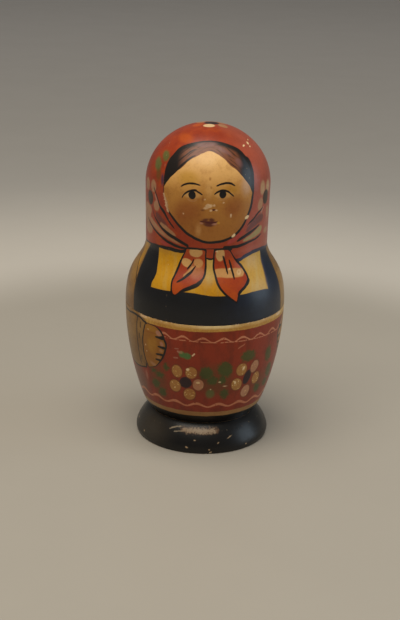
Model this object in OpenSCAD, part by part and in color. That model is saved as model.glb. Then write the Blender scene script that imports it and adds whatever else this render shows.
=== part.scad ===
// Nesting doll set: hollow turned dolls that part at the belly, one inside the next,
// with a solid doll in the middle and the largest doll glued to a round stand.
// Every doll has the same outline at its own scale. Sizes are millimetres, +Z is up,
// and z = 0 is the surface that the stand rests on. The face looks along -Y.

/* [Set] */
// Number of dolls, counting the solid one in the middle
doll_count = 7; // [3:1:8]
// Room between a doll and the hollow that holds it
nest_gap = 0.5; // [0.3:0.1:1.5]
// Radial play of a spigot in its socket
spigot_play = 0.12; // [0.05:0.01:0.3]
// Play above the end of a spigot
spigot_end_play = 0.4; // [0.2:0.1:1]
// Bevel on the edges of a spigot
spigot_bevel = 0.4; // [0.2:0.1:0.6]

/* [Outline of the largest doll] */
// Height of the doll without its stand
doll_h = 137; // [114:1:170]
// Diameter of the flat bottom
base_d = 49.8; // [40:0.2:60]
// Diameter at the hem, where the side curve starts
hem_d = 56.4; // [46:0.2:68]
// Height of the hem above the bottom
hem_h = 5; // [3:0.5:8]
// Diameter of the belly, where the halves part
belly_d = 74.6; // [64:0.2:90]
// Height of the belly above the bottom
belly_h = 53; // [44:1:64]
// Diameter of the neck, at the lower edge of the head
neck_d = 56.2; // [47:0.2:62]
// Height of the neck above the bottom
neck_h = 82; // [76:1:90]
// Diameter of the head at its widest
head_d = 57.2; // [48:0.2:66]
// Height of the dome over the widest part of the head
dome_h = 27; // [20:0.5:33]

/* [Curves of the side] */
// Share of the widening from hem to belly that the skirt takes first
skirt_flare = 0.44; // [0.3:0.02:0.6]
// Share of the rise from hem to belly over which it does so
skirt_rise = 0.21; // [0.1:0.01:0.3]
// Share of the rise from hem to belly that stays full
skirt_fullness = 0.42; // [0.3:0.02:0.6]
// Share of the rise from belly to neck that stays full
shoulder_fullness = 0.69; // [0.5:0.01:0.75]
// Share of the narrowing from belly to neck that is left near the neck
shoulder_run = 0.16; // [0.05:0.01:0.4]
// Share of the rise from belly to neck over which it is left
shoulder_drop = 0.35; // [0.2:0.01:0.5]
// Straight steps along each curve
curve_steps = 16; // [8:2:32]

/* [Walls] */
// Wall around the socket of the largest doll
socket_wall_large = 3; // [2:0.1:4]
// Wall around the socket of the smallest hollow doll
socket_wall_small = 1.5; // [1.2:0.1:2]
// Wall of the spigot of the largest doll
spigot_wall_large = 2.2; // [1.6:0.1:3]
// Wall of the spigot of the smallest hollow doll
spigot_wall_small = 1.2; // [1:0.1:1.6]
// Length of the spigot of the largest doll
spigot_len_large = 8; // [5:0.5:10]
// Length of the spigot of the smallest hollow doll
spigot_len_small = 3.5; // [2.5:0.5:4.5]
// Wall of the head of the largest doll
head_wall_large = 3.2; // [2.4:0.1:4.5]
// Wall of the head of the smallest hollow doll
head_wall_small = 1.7; // [1.2:0.1:2.2]
// Floor of the largest doll
floor_large = 7; // [5.5:0.5:9]
// Floor of the smallest hollow doll
floor_small = 3; // [2:0.5:4]
// Least wood over the hollow of the largest doll
crown_large = 8; // [4:0.5:12]
// Least wood over the hollow of the smallest hollow doll
crown_small = 5; // [2:0.5:7]
// Largest share of a doll's throat that the wall of its head takes; its other walls thin with it
wall_share = 0.2; // [0.18:0.01:0.3]

/* [Stand] */
// Height of the stand
stand_h = 13; // [10:0.5:18]
// Diameter of the stand at its widest
stand_d = 63.2; // [54:0.2:76]
// Diameter of the face that the stand rests on
stand_foot_d = 62.2; // [52:0.2:74]
// Height of the widest part of the stand
stand_edge_h = 2; // [1:0.5:4]
// Share of the rise above it over which the side stays upright
stand_fullness = 0.3; // [0.1:0.05:0.6]
// Share of the narrowing that is left where the side meets the doll
stand_run = 0.45; // [0.2:0.05:0.7]
// Share of the rise over which it is left
stand_drop = 0.2; // [0.1:0.05:0.4]
// Diameter of the tenon that is glued into the largest doll
tenon_d = 18; // [12:0.5:24]
// Length of the tenon
tenon_len = 4; // [2.5:0.5:5]
// Radial play of the tenon for glue
tenon_play = 0.1; // [0.05:0.05:0.3]
// Play above the end of the tenon
tenon_end_play = 0.3; // [0.2:0.1:0.5]

/* [Hidden] */
$fn = 96;
base_r = base_d / 2;
hem_r = hem_d / 2;
belly_r = belly_d / 2;
neck_r = neck_d / 2;
head_r = head_d / 2;
head_h = doll_h - dome_h;
stand_r = stand_d / 2;
stand_foot_r = stand_foot_d / 2;
tenon_r = tenon_d / 2;
skirt_colours = ["#7d2a1a", "#2f4a6b", "#5d6b2a", "#7a2f45", "#8a5a1e", "#3d5f57"];
scarf_colours = ["#b5472b", "#c08a2b", "#a8402f", "#c9a23a", "#b2432e", "#c2762f"];

// A value between two, at share t of the way
function between(a, b, t) = a + (b - a) * t;

// Narrowest radius that a head passes on its way into the largest doll
throat_r = min(neck_r, head_r);

// A value that goes from the largest doll to the smallest hollow one
function graded(k, large, small) = between(large, small, (k - 1) / (doll_count - 2));

// How much of its graded wood doll k keeps at scale s, so that a narrow throat leaves a hollow
function wood(k, s) = min(1, wall_share * throat_r * s / graded(k, head_wall_large, head_wall_small));

function socket_wall(k, s) = wood(k, s) * graded(k, socket_wall_large, socket_wall_small);
function spigot_wall(k, s) = wood(k, s) * graded(k, spigot_wall_large, spigot_wall_small);
function spigot_len(k, s) = wood(k, s) * graded(k, spigot_len_large, spigot_len_small);
function head_wall(k, s) = wood(k, s) * graded(k, head_wall_large, head_wall_small);
function floor_t(k, s) = wood(k, s) * graded(k, floor_large, floor_small);
function crown_t(k, s) = wood(k, s) * graded(k, crown_large, crown_small);

// Wall of a lower half: the socket's wall, the play and the spigot together
function lower_wall(k, s) = socket_wall(k, s) + spigot_play + spigot_wall(k, s);

// Bevel on a spigot, limited by its wall
function bevel(k, s) = min(spigot_bevel, spigot_wall(k, s) / 3);

// Point of a cubic curve at share t, and the whole curve in steps
function cubic_at(p, t) =
    p[0] * pow(1 - t, 3)
    + p[1] * 3 * pow(1 - t, 2) * t
    + p[2] * 3 * (1 - t) * t * t
    + p[3] * pow(t, 3);
function cubic(p) = [for (i = [0 : curve_steps]) cubic_at(p, i / curve_steps)];

// Quarter of an ellipse from its side at height z up to the axis
function dome(r, z, rise) =
    [for (i = [0 : curve_steps])
        let (a = 90 * i / curve_steps)
        i == curve_steps ? [0, z + rise] : [r * cos(a), z + rise * sin(a)]];

function reversed(points) = [for (i = [len(points) - 1 : -1 : 0]) points[i]];
function inward(points, wall) = [for (p = points) [p[0] - wall, p[1]]];

// Radius of a rising curve at height z
function radius_at(points, z) = lookup(z, [for (p = points) [p[1], p[0]]]);

// Side of a doll of scale s, from the hem to the belly and from the belly to the neck
function skirt_curve(s) =
    cubic([
        s * [hem_r, hem_h],
        s * [between(hem_r, belly_r, skirt_flare), between(hem_h, belly_h, skirt_rise)],
        s * [belly_r, between(belly_h, hem_h, skirt_fullness)],
        s * [belly_r, belly_h]
    ]);
function shoulder_curve(s) =
    cubic([
        s * [belly_r, belly_h],
        s * [belly_r, between(belly_h, neck_h, shoulder_fullness)],
        s * [between(neck_r, belly_r, shoulder_run), between(neck_h, belly_h, shoulder_drop)],
        s * [neck_r, neck_h]
    ]);

// Outside of a doll of scale s below and above the belly
function lower_outside(s) = concat([s * [base_r, 0]], skirt_curve(s));
function upper_outside(s) = concat(shoulder_curve(s), dome(s * head_r, s * head_h, s * dome_h));

// Radius of the hollow of doll k, which has scale s, at height z above its bottom and below its neck
function hollow_at(k, s, z) =
    z < s * belly_h + spigot_len(k, s)
        ? radius_at(skirt_curve(s), z) - lower_wall(k, s)
        : radius_at(shoulder_curve(s), z) - head_wall(k, s);

// Whether a doll of scale inner stands clear of that hollow from its bottom to its neck
function clears(k, s, inner) =
    let (level = floor_t(k, s), points = concat(lower_outside(inner), shoulder_curve(inner)))
    len([for (p = points) if (p[0] + nest_gap / 2 > hollow_at(k, s, level + p[1])) p]) == 0;

// The scale inner, or as much less as a doll needs to stand clear
function cleared(k, s, inner) = clears(k, s, inner) ? inner : cleared(k, s, 0.99 * inner);

// Scale of the doll inside doll k, which has scale s: the largest that clears mouth, throat and crown
function next_scale(k, s) =
    cleared(k, s, min(
        (belly_r * s - lower_wall(k, s) - nest_gap) / belly_r,
        (throat_r * s - head_wall(k, s) - nest_gap) / head_r,
        (doll_h * s - floor_t(k, s) - crown_t(k, s) - nest_gap) / doll_h
    ));

// Scales of doll k and of all those inside it
function scales_from(k, s) =
    k == doll_count ? [s] : concat([s], scales_from(k + 1, next_scale(k, s)));

doll_scales = scales_from(1, 1);
function doll_scale(k) = doll_scales[k - 1];

// Height of the bottom of doll k above the surface under the stand
function doll_z(k) = k == 1 ? stand_h : doll_z(k - 1) + floor_t(k - 1, doll_scale(k - 1));

// Names of the nodes of doll k
function lower_name(k) = str("doll_", k, "_lower");
function upper_name(k) = str("doll_", k, "_upper");
solid_name = str("doll_", doll_count);

// Bottom of doll k near the axis: flat, or with the mortise for the stand's tenon
function bottom_middle(k) =
    k > 1 ? [[0, 0]] : [
        [0, tenon_len + tenon_end_play],
        [tenon_r + tenon_play, tenon_len + tenon_end_play],
        [tenon_r + tenon_play, 0]
    ];

// Hollow of a lower half from the mouth of its spigot down to the axis
function lower_hollow(k, curve, spigot_top) =
    let (
        wall = lower_wall(k, doll_scale(k)),
        level = floor_t(k, doll_scale(k)),
        edge = bevel(k, doll_scale(k)),
        mouth_r = curve[len(curve) - 1][0] - wall,
        above = [for (p = curve) if (p[1] > level + nest_gap) p]
    )
    concat(
        [[mouth_r + edge, spigot_top], [mouth_r, spigot_top - edge]],
        reversed(inward(above, wall)),
        [[radius_at(curve, level) - wall, level], [0, level]]
    );

// Hollow of an upper half from the axis down to the rim of its socket
function upper_hollow(k, curve, socket_top) =
    let (
        s = doll_scale(k),
        wall = head_wall(k, s),
        level = floor_t(k, s),
        inner = doll_scale(k + 1),
        neck = curve[len(curve) - 1],
        top = level + inner * doll_h + nest_gap,
        spring = max(neck[1], level + inner * head_h),
        below = [for (p = curve) if (p[1] > socket_top + nest_gap && p[1] < neck[1]) p],
        socket_r = curve[0][0] - socket_wall(k, s)
    )
    concat(
        reversed(dome(s * throat_r - wall, spring, top - spring)),
        spring > neck[1] ? inward([neck], wall) : [],
        reversed(inward(below, wall)),
        [
            [radius_at(curve, socket_top) - wall, socket_top],
            [socket_r, socket_top],
            [socket_r, curve[0][1]]
        ]
    );

// Lower half of doll k: skirt, floor and the spigot that stands above the belly
module lower_half(k) {
    s = doll_scale(k);
    curve = skirt_curve(s);
    rim_z = s * belly_h;
    spigot_top = rim_z + spigot_len(k, s);
    spigot_r = s * belly_r - socket_wall(k, s) - spigot_play;
    edge = bevel(k, s);
    color(skirt_colours[(k - 1) % len(skirt_colours)])
        translate([0, 0, doll_z(k)])
            rotate_extrude()
                polygon(concat(
                    bottom_middle(k),
                    lower_outside(s),
                    [
                        [spigot_r, rim_z],
                        [spigot_r, spigot_top - edge],
                        [spigot_r - edge, spigot_top]
                    ],
                    lower_hollow(k, curve, spigot_top)
                ));
}

// Upper half of doll k: shoulders, head and the socket that takes the spigot
module upper_half(k) {
    s = doll_scale(k);
    curve = shoulder_curve(s);
    socket_top = s * belly_h + spigot_len(k, s) + spigot_end_play;
    color(scarf_colours[(k - 1) % len(scarf_colours)])
        translate([0, 0, doll_z(k)])
            rotate_extrude()
                polygon(concat(
                    upper_outside(s),
                    upper_hollow(k, curve, socket_top)
                ));
}

// Innermost doll, turned in one piece
module solid_doll() {
    s = doll_scale(doll_count);
    color("#c9a04a")
        translate([0, 0, doll_z(doll_count)])
            rotate_extrude()
                polygon(concat([[0, 0]], lower_outside(s), upper_outside(s)));
}

// Round stand with the tenon that is glued into the largest doll
module stand() {
    side = cubic([
        [stand_r, stand_edge_h],
        [stand_r, between(stand_edge_h, stand_h, stand_fullness)],
        [between(base_r, stand_r, stand_run), between(stand_h, stand_edge_h, stand_drop)],
        [base_r, stand_h]
    ]);
    color("#2b2a2c")
        rotate_extrude()
            polygon(concat(
                [[0, 0], [stand_foot_r, 0]],
                side,
                [
                    [tenon_r, stand_h],
                    [tenon_r, stand_h + tenon_len],
                    [0, stand_h + tenon_len]
                ]
            ));
}

stand();
for (k = [1 : doll_count - 1]) {
    lower_half(k);
    upper_half(k);
}
solid_doll();
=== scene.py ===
"""Looks of a set of painted nesting dolls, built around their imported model.

Each half is turned again as a smooth closed shell, painted outside and bare wood inside. The paint is laid
coat over coat by shader nodes, in millimetres of the largest doll, so each doll carries the same drawing
at its own size and in its own colours.
"""
import logging
import math
from dataclasses import dataclass, field
from enum import Enum
from typing import Callable, Optional, Sequence, Union

import bmesh
import bpy
from mathutils import Matrix, Vector


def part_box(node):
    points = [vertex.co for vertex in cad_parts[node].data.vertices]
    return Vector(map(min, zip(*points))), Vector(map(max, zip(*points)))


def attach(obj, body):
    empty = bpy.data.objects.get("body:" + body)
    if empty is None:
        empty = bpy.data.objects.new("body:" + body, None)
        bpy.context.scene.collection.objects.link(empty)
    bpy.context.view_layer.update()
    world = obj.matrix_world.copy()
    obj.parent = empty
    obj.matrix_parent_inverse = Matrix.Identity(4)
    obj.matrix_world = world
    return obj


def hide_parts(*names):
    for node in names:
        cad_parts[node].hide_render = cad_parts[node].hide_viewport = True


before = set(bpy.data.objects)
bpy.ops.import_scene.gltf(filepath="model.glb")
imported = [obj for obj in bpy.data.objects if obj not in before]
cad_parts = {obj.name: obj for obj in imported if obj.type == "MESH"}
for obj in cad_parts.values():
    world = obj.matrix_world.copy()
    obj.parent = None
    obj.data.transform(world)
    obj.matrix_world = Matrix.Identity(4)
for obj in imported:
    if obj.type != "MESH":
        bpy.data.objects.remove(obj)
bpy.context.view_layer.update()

LOG = logging.getLogger("nesting_doll")

Point = tuple[float, float]
Colour = tuple[float, float, float]
Place = tuple[float, float, float]
Mark = Union[Point, tuple[float, float, float]]
Socket = bpy.types.NodeSocket
Number = Union[float, "Value"]
Feed = Union[float, Sequence[float], Socket, "Value"]

MM = 0.001
TAU = 2 * math.pi
SOFT_EDGE = 0.16
TINY = 1e-6
PARALLEL = 1e-9


class Bend(Enum):
    """Ways a curve may run between its points."""

    SMOOTH = "AUTO_CLAMPED"
    STRAIGHT = "VECTOR"


Operator = Callable[["Value", Number], "Value"]


def operators(kind: str) -> tuple[Operator, Operator]:
    """Operator that adds a Math node, and its reflected form.

    Args:
        kind: Operation of the node.

    Returns:
        The operator, and the one for a plain number in front.
    """

    def plain(value: "Value", other: Number) -> "Value":
        """Value in front."""
        return value.graph.math(kind, value, other)

    def reflected(value: "Value", other: Number) -> "Value":
        """Plain number in front."""
        return value.graph.math(kind, other, value)

    return plain, reflected


class Value:
    """A number that varies over a surface, carried by one socket of a shader graph.

    Where a value says how far inside a shape a point lies, a | b is either shape and a & b is both.
    """

    __add__, __radd__ = operators("ADD")
    __sub__, __rsub__ = operators("SUBTRACT")
    __mul__, __rmul__ = operators("MULTIPLY")
    __truediv__, __rtruediv__ = operators("DIVIDE")
    __or__, __ror__ = operators("MAXIMUM")
    __and__, __rand__ = operators("MINIMUM")

    def __init__(self, graph: "Graph", socket: Socket) -> None:
        """Wraps a socket of a graph."""
        self.graph = graph
        self.socket = socket

    def __neg__(self) -> "Value":
        """Value with its sign turned."""
        return self.graph.math("MULTIPLY", self, -1.0)

    def __abs__(self) -> "Value":
        """Value without its sign."""
        return self.graph.math("ABSOLUTE", self)

    def ramp(self, low: float, high: float) -> "Value":
        """Share of the way between two values, eased at both ends.

        Args:
            low: Value that gives 0.
            high: Value that gives 1.

        Returns:
            The share, from 0 to 1.
        """
        settings = {"interpolation_type": "SMOOTHSTEP", "clamp": False}
        node = self.graph.node("ShaderNodeMapRange", settings, {0: self, 1: low, 2: high})
        return Value(self.graph, node.outputs[0])

    def mask(self, soft: float = SOFT_EDGE) -> "Value":
        """Mask of a shape from how far inside its edge a point lies."""
        return self.ramp(-soft, soft)


class Graph:
    """Node tree of one material, with short ways to add nodes to it."""

    def __init__(self, name: str) -> None:
        """Starts an empty material.

        Args:
            name: Name of the material.
        """
        self.material = bpy.data.materials.new(name)
        self.material.use_nodes = True
        self.tree = self.material.node_tree
        self.tree.nodes.clear()
        self.parts: dict[int, tuple["Value", "Value", "Value"]] = {}

    def node(
        self,
        kind: str,
        settings: Optional[dict[str, object]] = None,
        sockets: Optional[dict[Union[str, int], Feed]] = None,
    ) -> bpy.types.Node:
        """Adds a node.

        Args:
            kind: Blender's name for the type of node.
            settings: Properties of the node; points holds how a curve runs and its points.
            sockets: Values or links of its inputs, by name or number.

        Returns:
            The new node.
        """
        node = self.tree.nodes.new(kind)
        for name, setting in (settings or {}).items():
            if name == "points":
                self._bend(node.mapping, setting)
            else:
                setattr(node, name, setting)
        for name, feed in (sockets or {}).items():
            self._feed(node.inputs[name], feed)
        return node

    def _bend(self, mapping: bpy.types.CurveMapping, shape: tuple[Bend, Sequence[Point]]) -> None:
        """Sets the points of a curve mapping.

        Args:
            mapping: Mapping of a curve node.
            shape: How the curve runs, and its points from 0 to 1, in order.
        """
        bend, points = shape
        line = mapping.curves[0]
        for x, y in points[1:-1]:
            line.points.new(x, y)
        line.points[0].location = points[0]
        line.points[len(line.points) - 1].location = points[-1]
        for point in line.points:
            point.handle_type = bend.value
        mapping.extend = "HORIZONTAL"
        mapping.update()

    def _feed(self, socket: Socket, feed: Feed) -> None:
        """Links a socket or sets its value.

        Args:
            socket: Input of a node.
            feed: What it takes.
        """
        if isinstance(feed, Value):
            feed = feed.socket
        if isinstance(feed, Socket):
            self.tree.links.new(feed, socket)
        elif socket.type == "RGBA" and len(feed) == 3:
            socket.default_value = (*feed, 1.0)
        else:
            socket.default_value = feed

    def math(self, operation: str, *terms: Number) -> Value:
        """Adds a Math node on numbers and values."""
        node = self.node("ShaderNodeMath", {"operation": operation}, dict(enumerate(terms)))
        return Value(self, node.outputs[0])

    def vector(self, operation: str, *terms: Feed) -> Socket:
        """Adds a Vector Math node and gives its vector."""
        node = self.node("ShaderNodeVectorMath", {"operation": operation}, dict(enumerate(terms)))
        return node.outputs[0]

    def length(self, vector: Socket) -> Value:
        """Length of a vector."""
        measure = self.node("ShaderNodeVectorMath", {"operation": "LENGTH"}, {0: vector})
        return Value(self, measure.outputs[1])

    def dot(self, vector: Socket, way: Sequence[float]) -> Value:
        """How far a vector reaches along a way."""
        settings = {"operation": "DOT_PRODUCT"}
        return Value(self, self.node("ShaderNodeVectorMath", settings, {0: vector, 1: way}).outputs[1])

    def split(self, vector: Socket) -> tuple[Value, Value, Value]:
        """Parts of a vector along X, Y and Z, taken apart once.

        Args:
            vector: Output that gives the vector.

        Returns:
            The three parts.
        """
        key = vector.as_pointer()
        if key not in self.parts:
            node = self.node("ShaderNodeSeparateXYZ", None, {0: vector})
            self.parts[key] = tuple(Value(self, node.outputs[i]) for i in range(3))
        return self.parts[key]

    def join(self, x: Number, y: Number, z: Number = 0.0) -> Socket:
        """Vector from its parts."""
        return self.node("ShaderNodeCombineXYZ", None, {0: x, 1: y, 2: z}).outputs[0]

    def mix(self, share: Number, first: Feed, second: Feed, blend: str = "MIX") -> Socket:
        """Mixes two colours.

        Args:
            share: How much of the second shows.
            first: Colour underneath.
            second: Colour on top.
            blend: How the second is laid on.

        Returns:
            The mixed colour.
        """
        settings = {"data_type": "RGBA", "blend_type": blend}
        return self.node("ShaderNodeMix", settings, {0: share, 6: first, 7: second}).outputs[2]

    def noise(self, place: Socket, size: float, detail: float = 2.0, rough: float = 0.5) -> Value:
        """Cloudy noise.

        Args:
            place: Where on the surface, in any unit.
            size: Size of its clouds in that unit.
            detail: Number of finer octaves.
            rough: Strength of the finer octaves.

        Returns:
            Values around a half.
        """
        sockets = {"Vector": place, "Scale": 1.0 / size, "Detail": detail, "Roughness": rough}
        return Value(self, self.node("ShaderNodeTexNoise", None, sockets).outputs[0])

    def scatter(self, place: Socket, size: float) -> Socket:
        """Three separate noises as one colour, for shifting places."""
        return self.node("ShaderNodeTexNoise", None, {"Vector": place, "Scale": 1.0 / size}).outputs[1]

    def local(self, flat: Socket, centre: Point, tilt: float, size: Point) -> Socket:
        """Place as seen from a motif.

        Args:
            flat: Place on the surface.
            centre: Middle of the motif.
            tilt: Turn of the motif, in degrees.
            size: Length of the motif's own units.

        Returns:
            Place from the motif's middle, along its own axes.
        """
        (cx, cy), (sx, sy) = centre, size
        if not tilt:
            return self.vector("MULTIPLY_ADD", flat, (1.0 / sx, 1.0 / sy, 0.0), (-cx / sx, -cy / sy, 0.0))
        c, s = math.cos(math.radians(tilt)), math.sin(math.radians(tilt))
        along = self.dot(flat, (c / sx, s / sx, 0.0))
        aside = self.dot(flat, (-s / sy, c / sy, 0.0))
        shift = (-(c * cx + s * cy) / sx, (s * cx - c * cy) / sy, 0.0)
        return self.vector("ADD", self.join(along, aside), shift)

    def curve(self, along: Value, points: Sequence[Point], bend: Bend = Bend.SMOOTH) -> Value:
        """Value read from a curve.

        Args:
            along: Where along the curve.
            points: Places along it and the value at each, in order.
            bend: How it runs between them.

        Returns:
            The value, held at the ends beyond them.
        """
        xs = [x for x, _ in points]
        ys = [y for _, y in points]
        low, span = min(ys), max(max(ys) - min(ys), TINY)
        run = xs[-1] - xs[0]
        stops = [((x - xs[0]) / run, (y - low) / span) for x, y in points]
        share = self.math("MULTIPLY_ADD", along, 1.0 / run, -xs[0] / run)
        node = self.node("ShaderNodeFloatCurve", {"points": (bend, stops)}, {1: share})
        return self.math("MULTIPLY_ADD", Value(self, node.outputs[0]), span, low)

    def surface(
        self,
        colour: Feed,
        rough: Feed,
        relief: Optional[Value] = None,
        depth: float = 0.0,
        fixed: Optional[dict[str, float]] = None,
    ) -> bpy.types.Material:
        """Ends the graph in a shader.

        Args:
            colour: Base colour.
            rough: Roughness.
            relief: Height of the fine relief, if there is any.
            depth: Metres that a relief of 1 stands up.
            fixed: Other sockets of the shader, the same all over.

        Returns:
            The finished material.
        """
        sockets: dict[Union[str, int], Feed] = {"Base Color": colour, "Roughness": rough}
        if relief is not None:
            heights = {"Height": relief, "Distance": depth, "Strength": 1.0}
            bump = self.node("ShaderNodeBump", None, heights)
            sockets["Normal"] = bump.outputs[0]
        shader = self.node("ShaderNodeBsdfPrincipled", None, {**sockets, **(fixed or {})})
        self.node("ShaderNodeOutputMaterial", None, {"Surface": shader.outputs[0]})
        return self.material


@dataclass(frozen=True)
class Dab:
    """Oval touch of a brush.

    Attributes:
        across: Place of its middle round the piece.
        up: Place of its middle along the side.
        wide: Half its width.
        high: Half its height.
        tilt: Turn of the oval, in degrees.
    """

    across: float
    up: float
    wide: float
    high: float
    tilt: float = 0.0

    def inside(self, graph: Graph, flat: Socket) -> Value:
        """Millimetres inside the edge of the oval."""
        away = graph.length(graph.local(flat, (self.across, self.up), self.tilt, (self.wide, self.high)))
        return graph.math("MULTIPLY_ADD", away, -min(self.wide, self.high), min(self.wide, self.high))


@dataclass(frozen=True)
class Sweep:
    """Stroke of a brush along a shallow arc, drawn fine at both ends.

    Attributes:
        start: Where the stroke starts.
        end: Where it ends.
        width: Width in the middle.
        sag: How far the middle stands to the left of the straight way.
        fullness: How soon it is as wide as in the middle.
    """

    start: Point
    end: Point
    width: float
    sag: float = 0.0
    fullness: float = 2.5

    def inside(self, graph: Graph, flat: Socket) -> Value:
        """How far inside the edge of the stroke a point lies.

        Args:
            graph: Graph that takes the nodes.
            flat: Place on the surface.

        Returns:
            Millimetres, less than 0 outside.
        """
        dx, dy = self.end[0] - self.start[0], self.end[1] - self.start[1]
        middle = ((self.start[0] + self.end[0]) / 2, (self.start[1] + self.end[1]) / 2)
        half = math.hypot(dx, dy) / 2
        tilt = math.degrees(math.atan2(dy, dx))
        along, aside, _ = graph.split(graph.local(flat, middle, tilt, (half, 1.0)))
        bow = 1.0 - along * along
        return ((bow * self.fullness) & 1.0) * (self.width / 2) - abs(aside - bow * self.sag)


class Stroke:
    """Stroke of a brush along a line, with its own width at each point."""

    def __init__(self, *marks: Mark, steep: bool = False) -> None:
        """Sets the line of the stroke.

        Args:
            marks: Across, up and width at each point; a mark without a width ends the stroke.
            steep: Whether the line runs up more than across.
        """
        self.line = [(*mark, 0.0)[:3] for mark in marks]
        self.steep = steep

    def inside(self, graph: Graph, flat: Socket) -> Value:
        """How far inside the edge of the stroke a point lies.

        Args:
            graph: Graph that takes the nodes.
            flat: Place on the surface.

        Returns:
            Millimetres, less than 0 outside.
        """
        across, up, _ = graph.split(flat)
        along, aside = (up, across) if self.steep else (across, up)
        marks = sorted((y, x, w) if self.steep else (x, y, w) for x, y, w in self.line)
        way = graph.curve(along, [(a, s) for a, s, _ in marks])
        end = -max(2 * SOFT_EDGE, max(self.line, key=lambda mark: mark[2])[2] / 2)
        half = graph.curve(along, [(a, w / 2 if w else end) for a, _, w in marks])
        (a, s, _), (b, t, _) = marks[0], marks[-1]
        lean = math.cos(math.atan2(t - s, b - a))
        return half - abs(aside - way) * lean


@dataclass(frozen=True)
class Patch:
    """Closed painted shape that all shows from its middle.

    Attributes:
        outline: Points round the edge.
        corners: Numbers of the points where the edge has a corner.
        parts: Number of straight parts from each point to the next.
        steps: Number of ways from the middle that the edge is measured along.
    """

    outline: tuple[Point, ...]
    corners: tuple[int, ...] = ()
    parts: int = 5
    steps: int = 72

    def middle(self) -> Point:
        """Mean of the outline's points."""
        return tuple(sum(axis) / len(self.outline) for axis in zip(*self.outline))

    def edge(self) -> list[Point]:
        """Smooth closed line through the points, seen from the middle.

        Returns:
            Points along the line.
        """
        cx, cy = self.middle()
        ring = [Vector((x - cx, y - cy)) for x, y in self.outline]
        count = len(ring)
        slopes = [(ring[(i + 1) % count] - ring[i - 1]) / 2 for i in range(count)]
        for i in self.corners:
            slopes[i] = Vector((0.0, 0.0))
        line = []
        for i, a in enumerate(ring):
            b, ta, tb = ring[(i + 1) % count], slopes[i], slopes[(i + 1) % count]
            for part in range(self.parts):
                t = part / self.parts
                u = 1.0 - t
                near, far = u * u * (1.0 + 2.0 * t), t * t * (3.0 - 2.0 * t)
                line.append(a * near + b * far + ta * (u * u * t) - tb * (t * t * u))
        return [(p.x, p.y) for p in line]

    def reach(self) -> list[Point]:
        """Distance from the middle to the edge all round.

        Returns:
            Share of a full turn and the distance there.
        """
        line = self.edge()
        table = []
        for i in range(self.steps + 1):
            angle = TAU * i / self.steps - math.pi
            dx, dy = math.cos(angle), math.sin(angle)
            best = 0.0
            for (ax, ay), (bx, by) in zip(line, line[1:] + line[:1]):
                ex, ey = bx - ax, by - ay
                cross = dx * ey - dy * ex
                if abs(cross) < PARALLEL:
                    continue
                far = (ax * ey - ay * ex) / cross
                where = (ax * dy - ay * dx) / cross
                if far > 0 and -TINY <= where <= 1 + TINY:
                    best = max(best, far)
            table.append((i / self.steps, best))
        return table

    def inside(self, graph: Graph, flat: Socket) -> Value:
        """How far inside the edge a point lies, towards the middle.

        Args:
            graph: Graph that takes the nodes.
            flat: Place on the surface.

        Returns:
            Millimetres, less than 0 outside.
        """
        near = graph.vector("SUBTRACT", flat, (*self.middle(), 0.0))
        x, y, _ = graph.split(near)
        turn = graph.math("ARCTAN2", y, x) / TAU + 0.5
        return graph.curve(turn, self.reach(), Bend.STRAIGHT) - graph.length(near)


Motif = Union[Dab, Sweep, Stroke, Patch]


@dataclass(frozen=True)
class Outline:
    """Outside of the largest doll, as radius and height above its flat bottom, in millimetres."""

    base: Point = (24.9, 0.0)
    hem: Point = (28.2, 5.0)
    belly: Point = (37.3, 53.0)
    neck: Point = (28.1, 82.0)
    temple: Point = (28.6, 110.0)
    height: float = 137.0
    skirt_flare: float = 0.44
    skirt_rise: float = 0.21
    skirt_fullness: float = 0.42
    shoulder_fullness: float = 0.69
    shoulder_run: float = 0.16
    shoulder_drop: float = 0.35

    def dome(self) -> float:
        """Height of the dome over the widest part of the head."""
        return self.height - self.temple[1]

    def skirt(self, steps: int) -> list[Point]:
        """Side from the hem up to the belly.

        Args:
            steps: Number of stretches.

        Returns:
            Points of the side.
        """
        (hr, hz), (br, bz) = self.hem, self.belly
        low = (between(hr, br, self.skirt_flare), between(hz, bz, self.skirt_rise))
        high = (br, between(bz, hz, self.skirt_fullness))
        return cubic(self.hem, low, high, self.belly, steps)

    def shoulder(self, steps: int) -> list[Point]:
        """Side from the belly up to the neck.

        Args:
            steps: Number of stretches.

        Returns:
            Points of the side.
        """
        (br, bz), (nr, nz) = self.belly, self.neck
        low = (br, between(bz, nz, self.shoulder_fullness))
        high = (between(nr, br, self.shoulder_run), between(nz, bz, self.shoulder_drop))
        return cubic(self.belly, low, high, self.neck, steps)

    def head(self, steps: int) -> list[Point]:
        """Side from the widest part of the head up to the crown."""
        return quarter(self.temple[0], self.temple[1], self.dome(), steps)


OUTLINE = Outline()


def between(a: float, b: float, share: float) -> float:
    """Value between two, at a share of the way."""
    return a + (b - a) * share


def cubic(a: Point, b: Point, c: Point, d: Point, steps: int) -> list[Point]:
    """Points along a cubic curve.

    Args:
        a: Start of the curve.
        b: First handle.
        c: Second handle.
        d: End of the curve.
        steps: Number of stretches.

    Returns:
        Points from the start to the end.
    """
    line = []
    for i in range(steps + 1):
        t = i / steps
        u = 1 - t
        weights = (u**3, 3 * u * u * t, 3 * u * t * t, t**3)
        line.append(tuple(sum(w * p[axis] for w, p in zip(weights, (a, b, c, d))) for axis in (0, 1)))
    return line


def quarter(radius: float, level: float, rise: float, steps: int) -> list[Point]:
    """Quarter of an ellipse from its side up to the axis.

    Args:
        radius: Radius at the side.
        level: Height of the side.
        rise: Height of the top above it.
        steps: Number of stretches.

    Returns:
        Points from the side to the axis.
    """
    angles = [math.pi / 2 * i / steps for i in range(steps)]
    return [(radius * math.cos(a), level + rise * math.sin(a)) for a in angles] + [(0.0, level + rise)]


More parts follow.
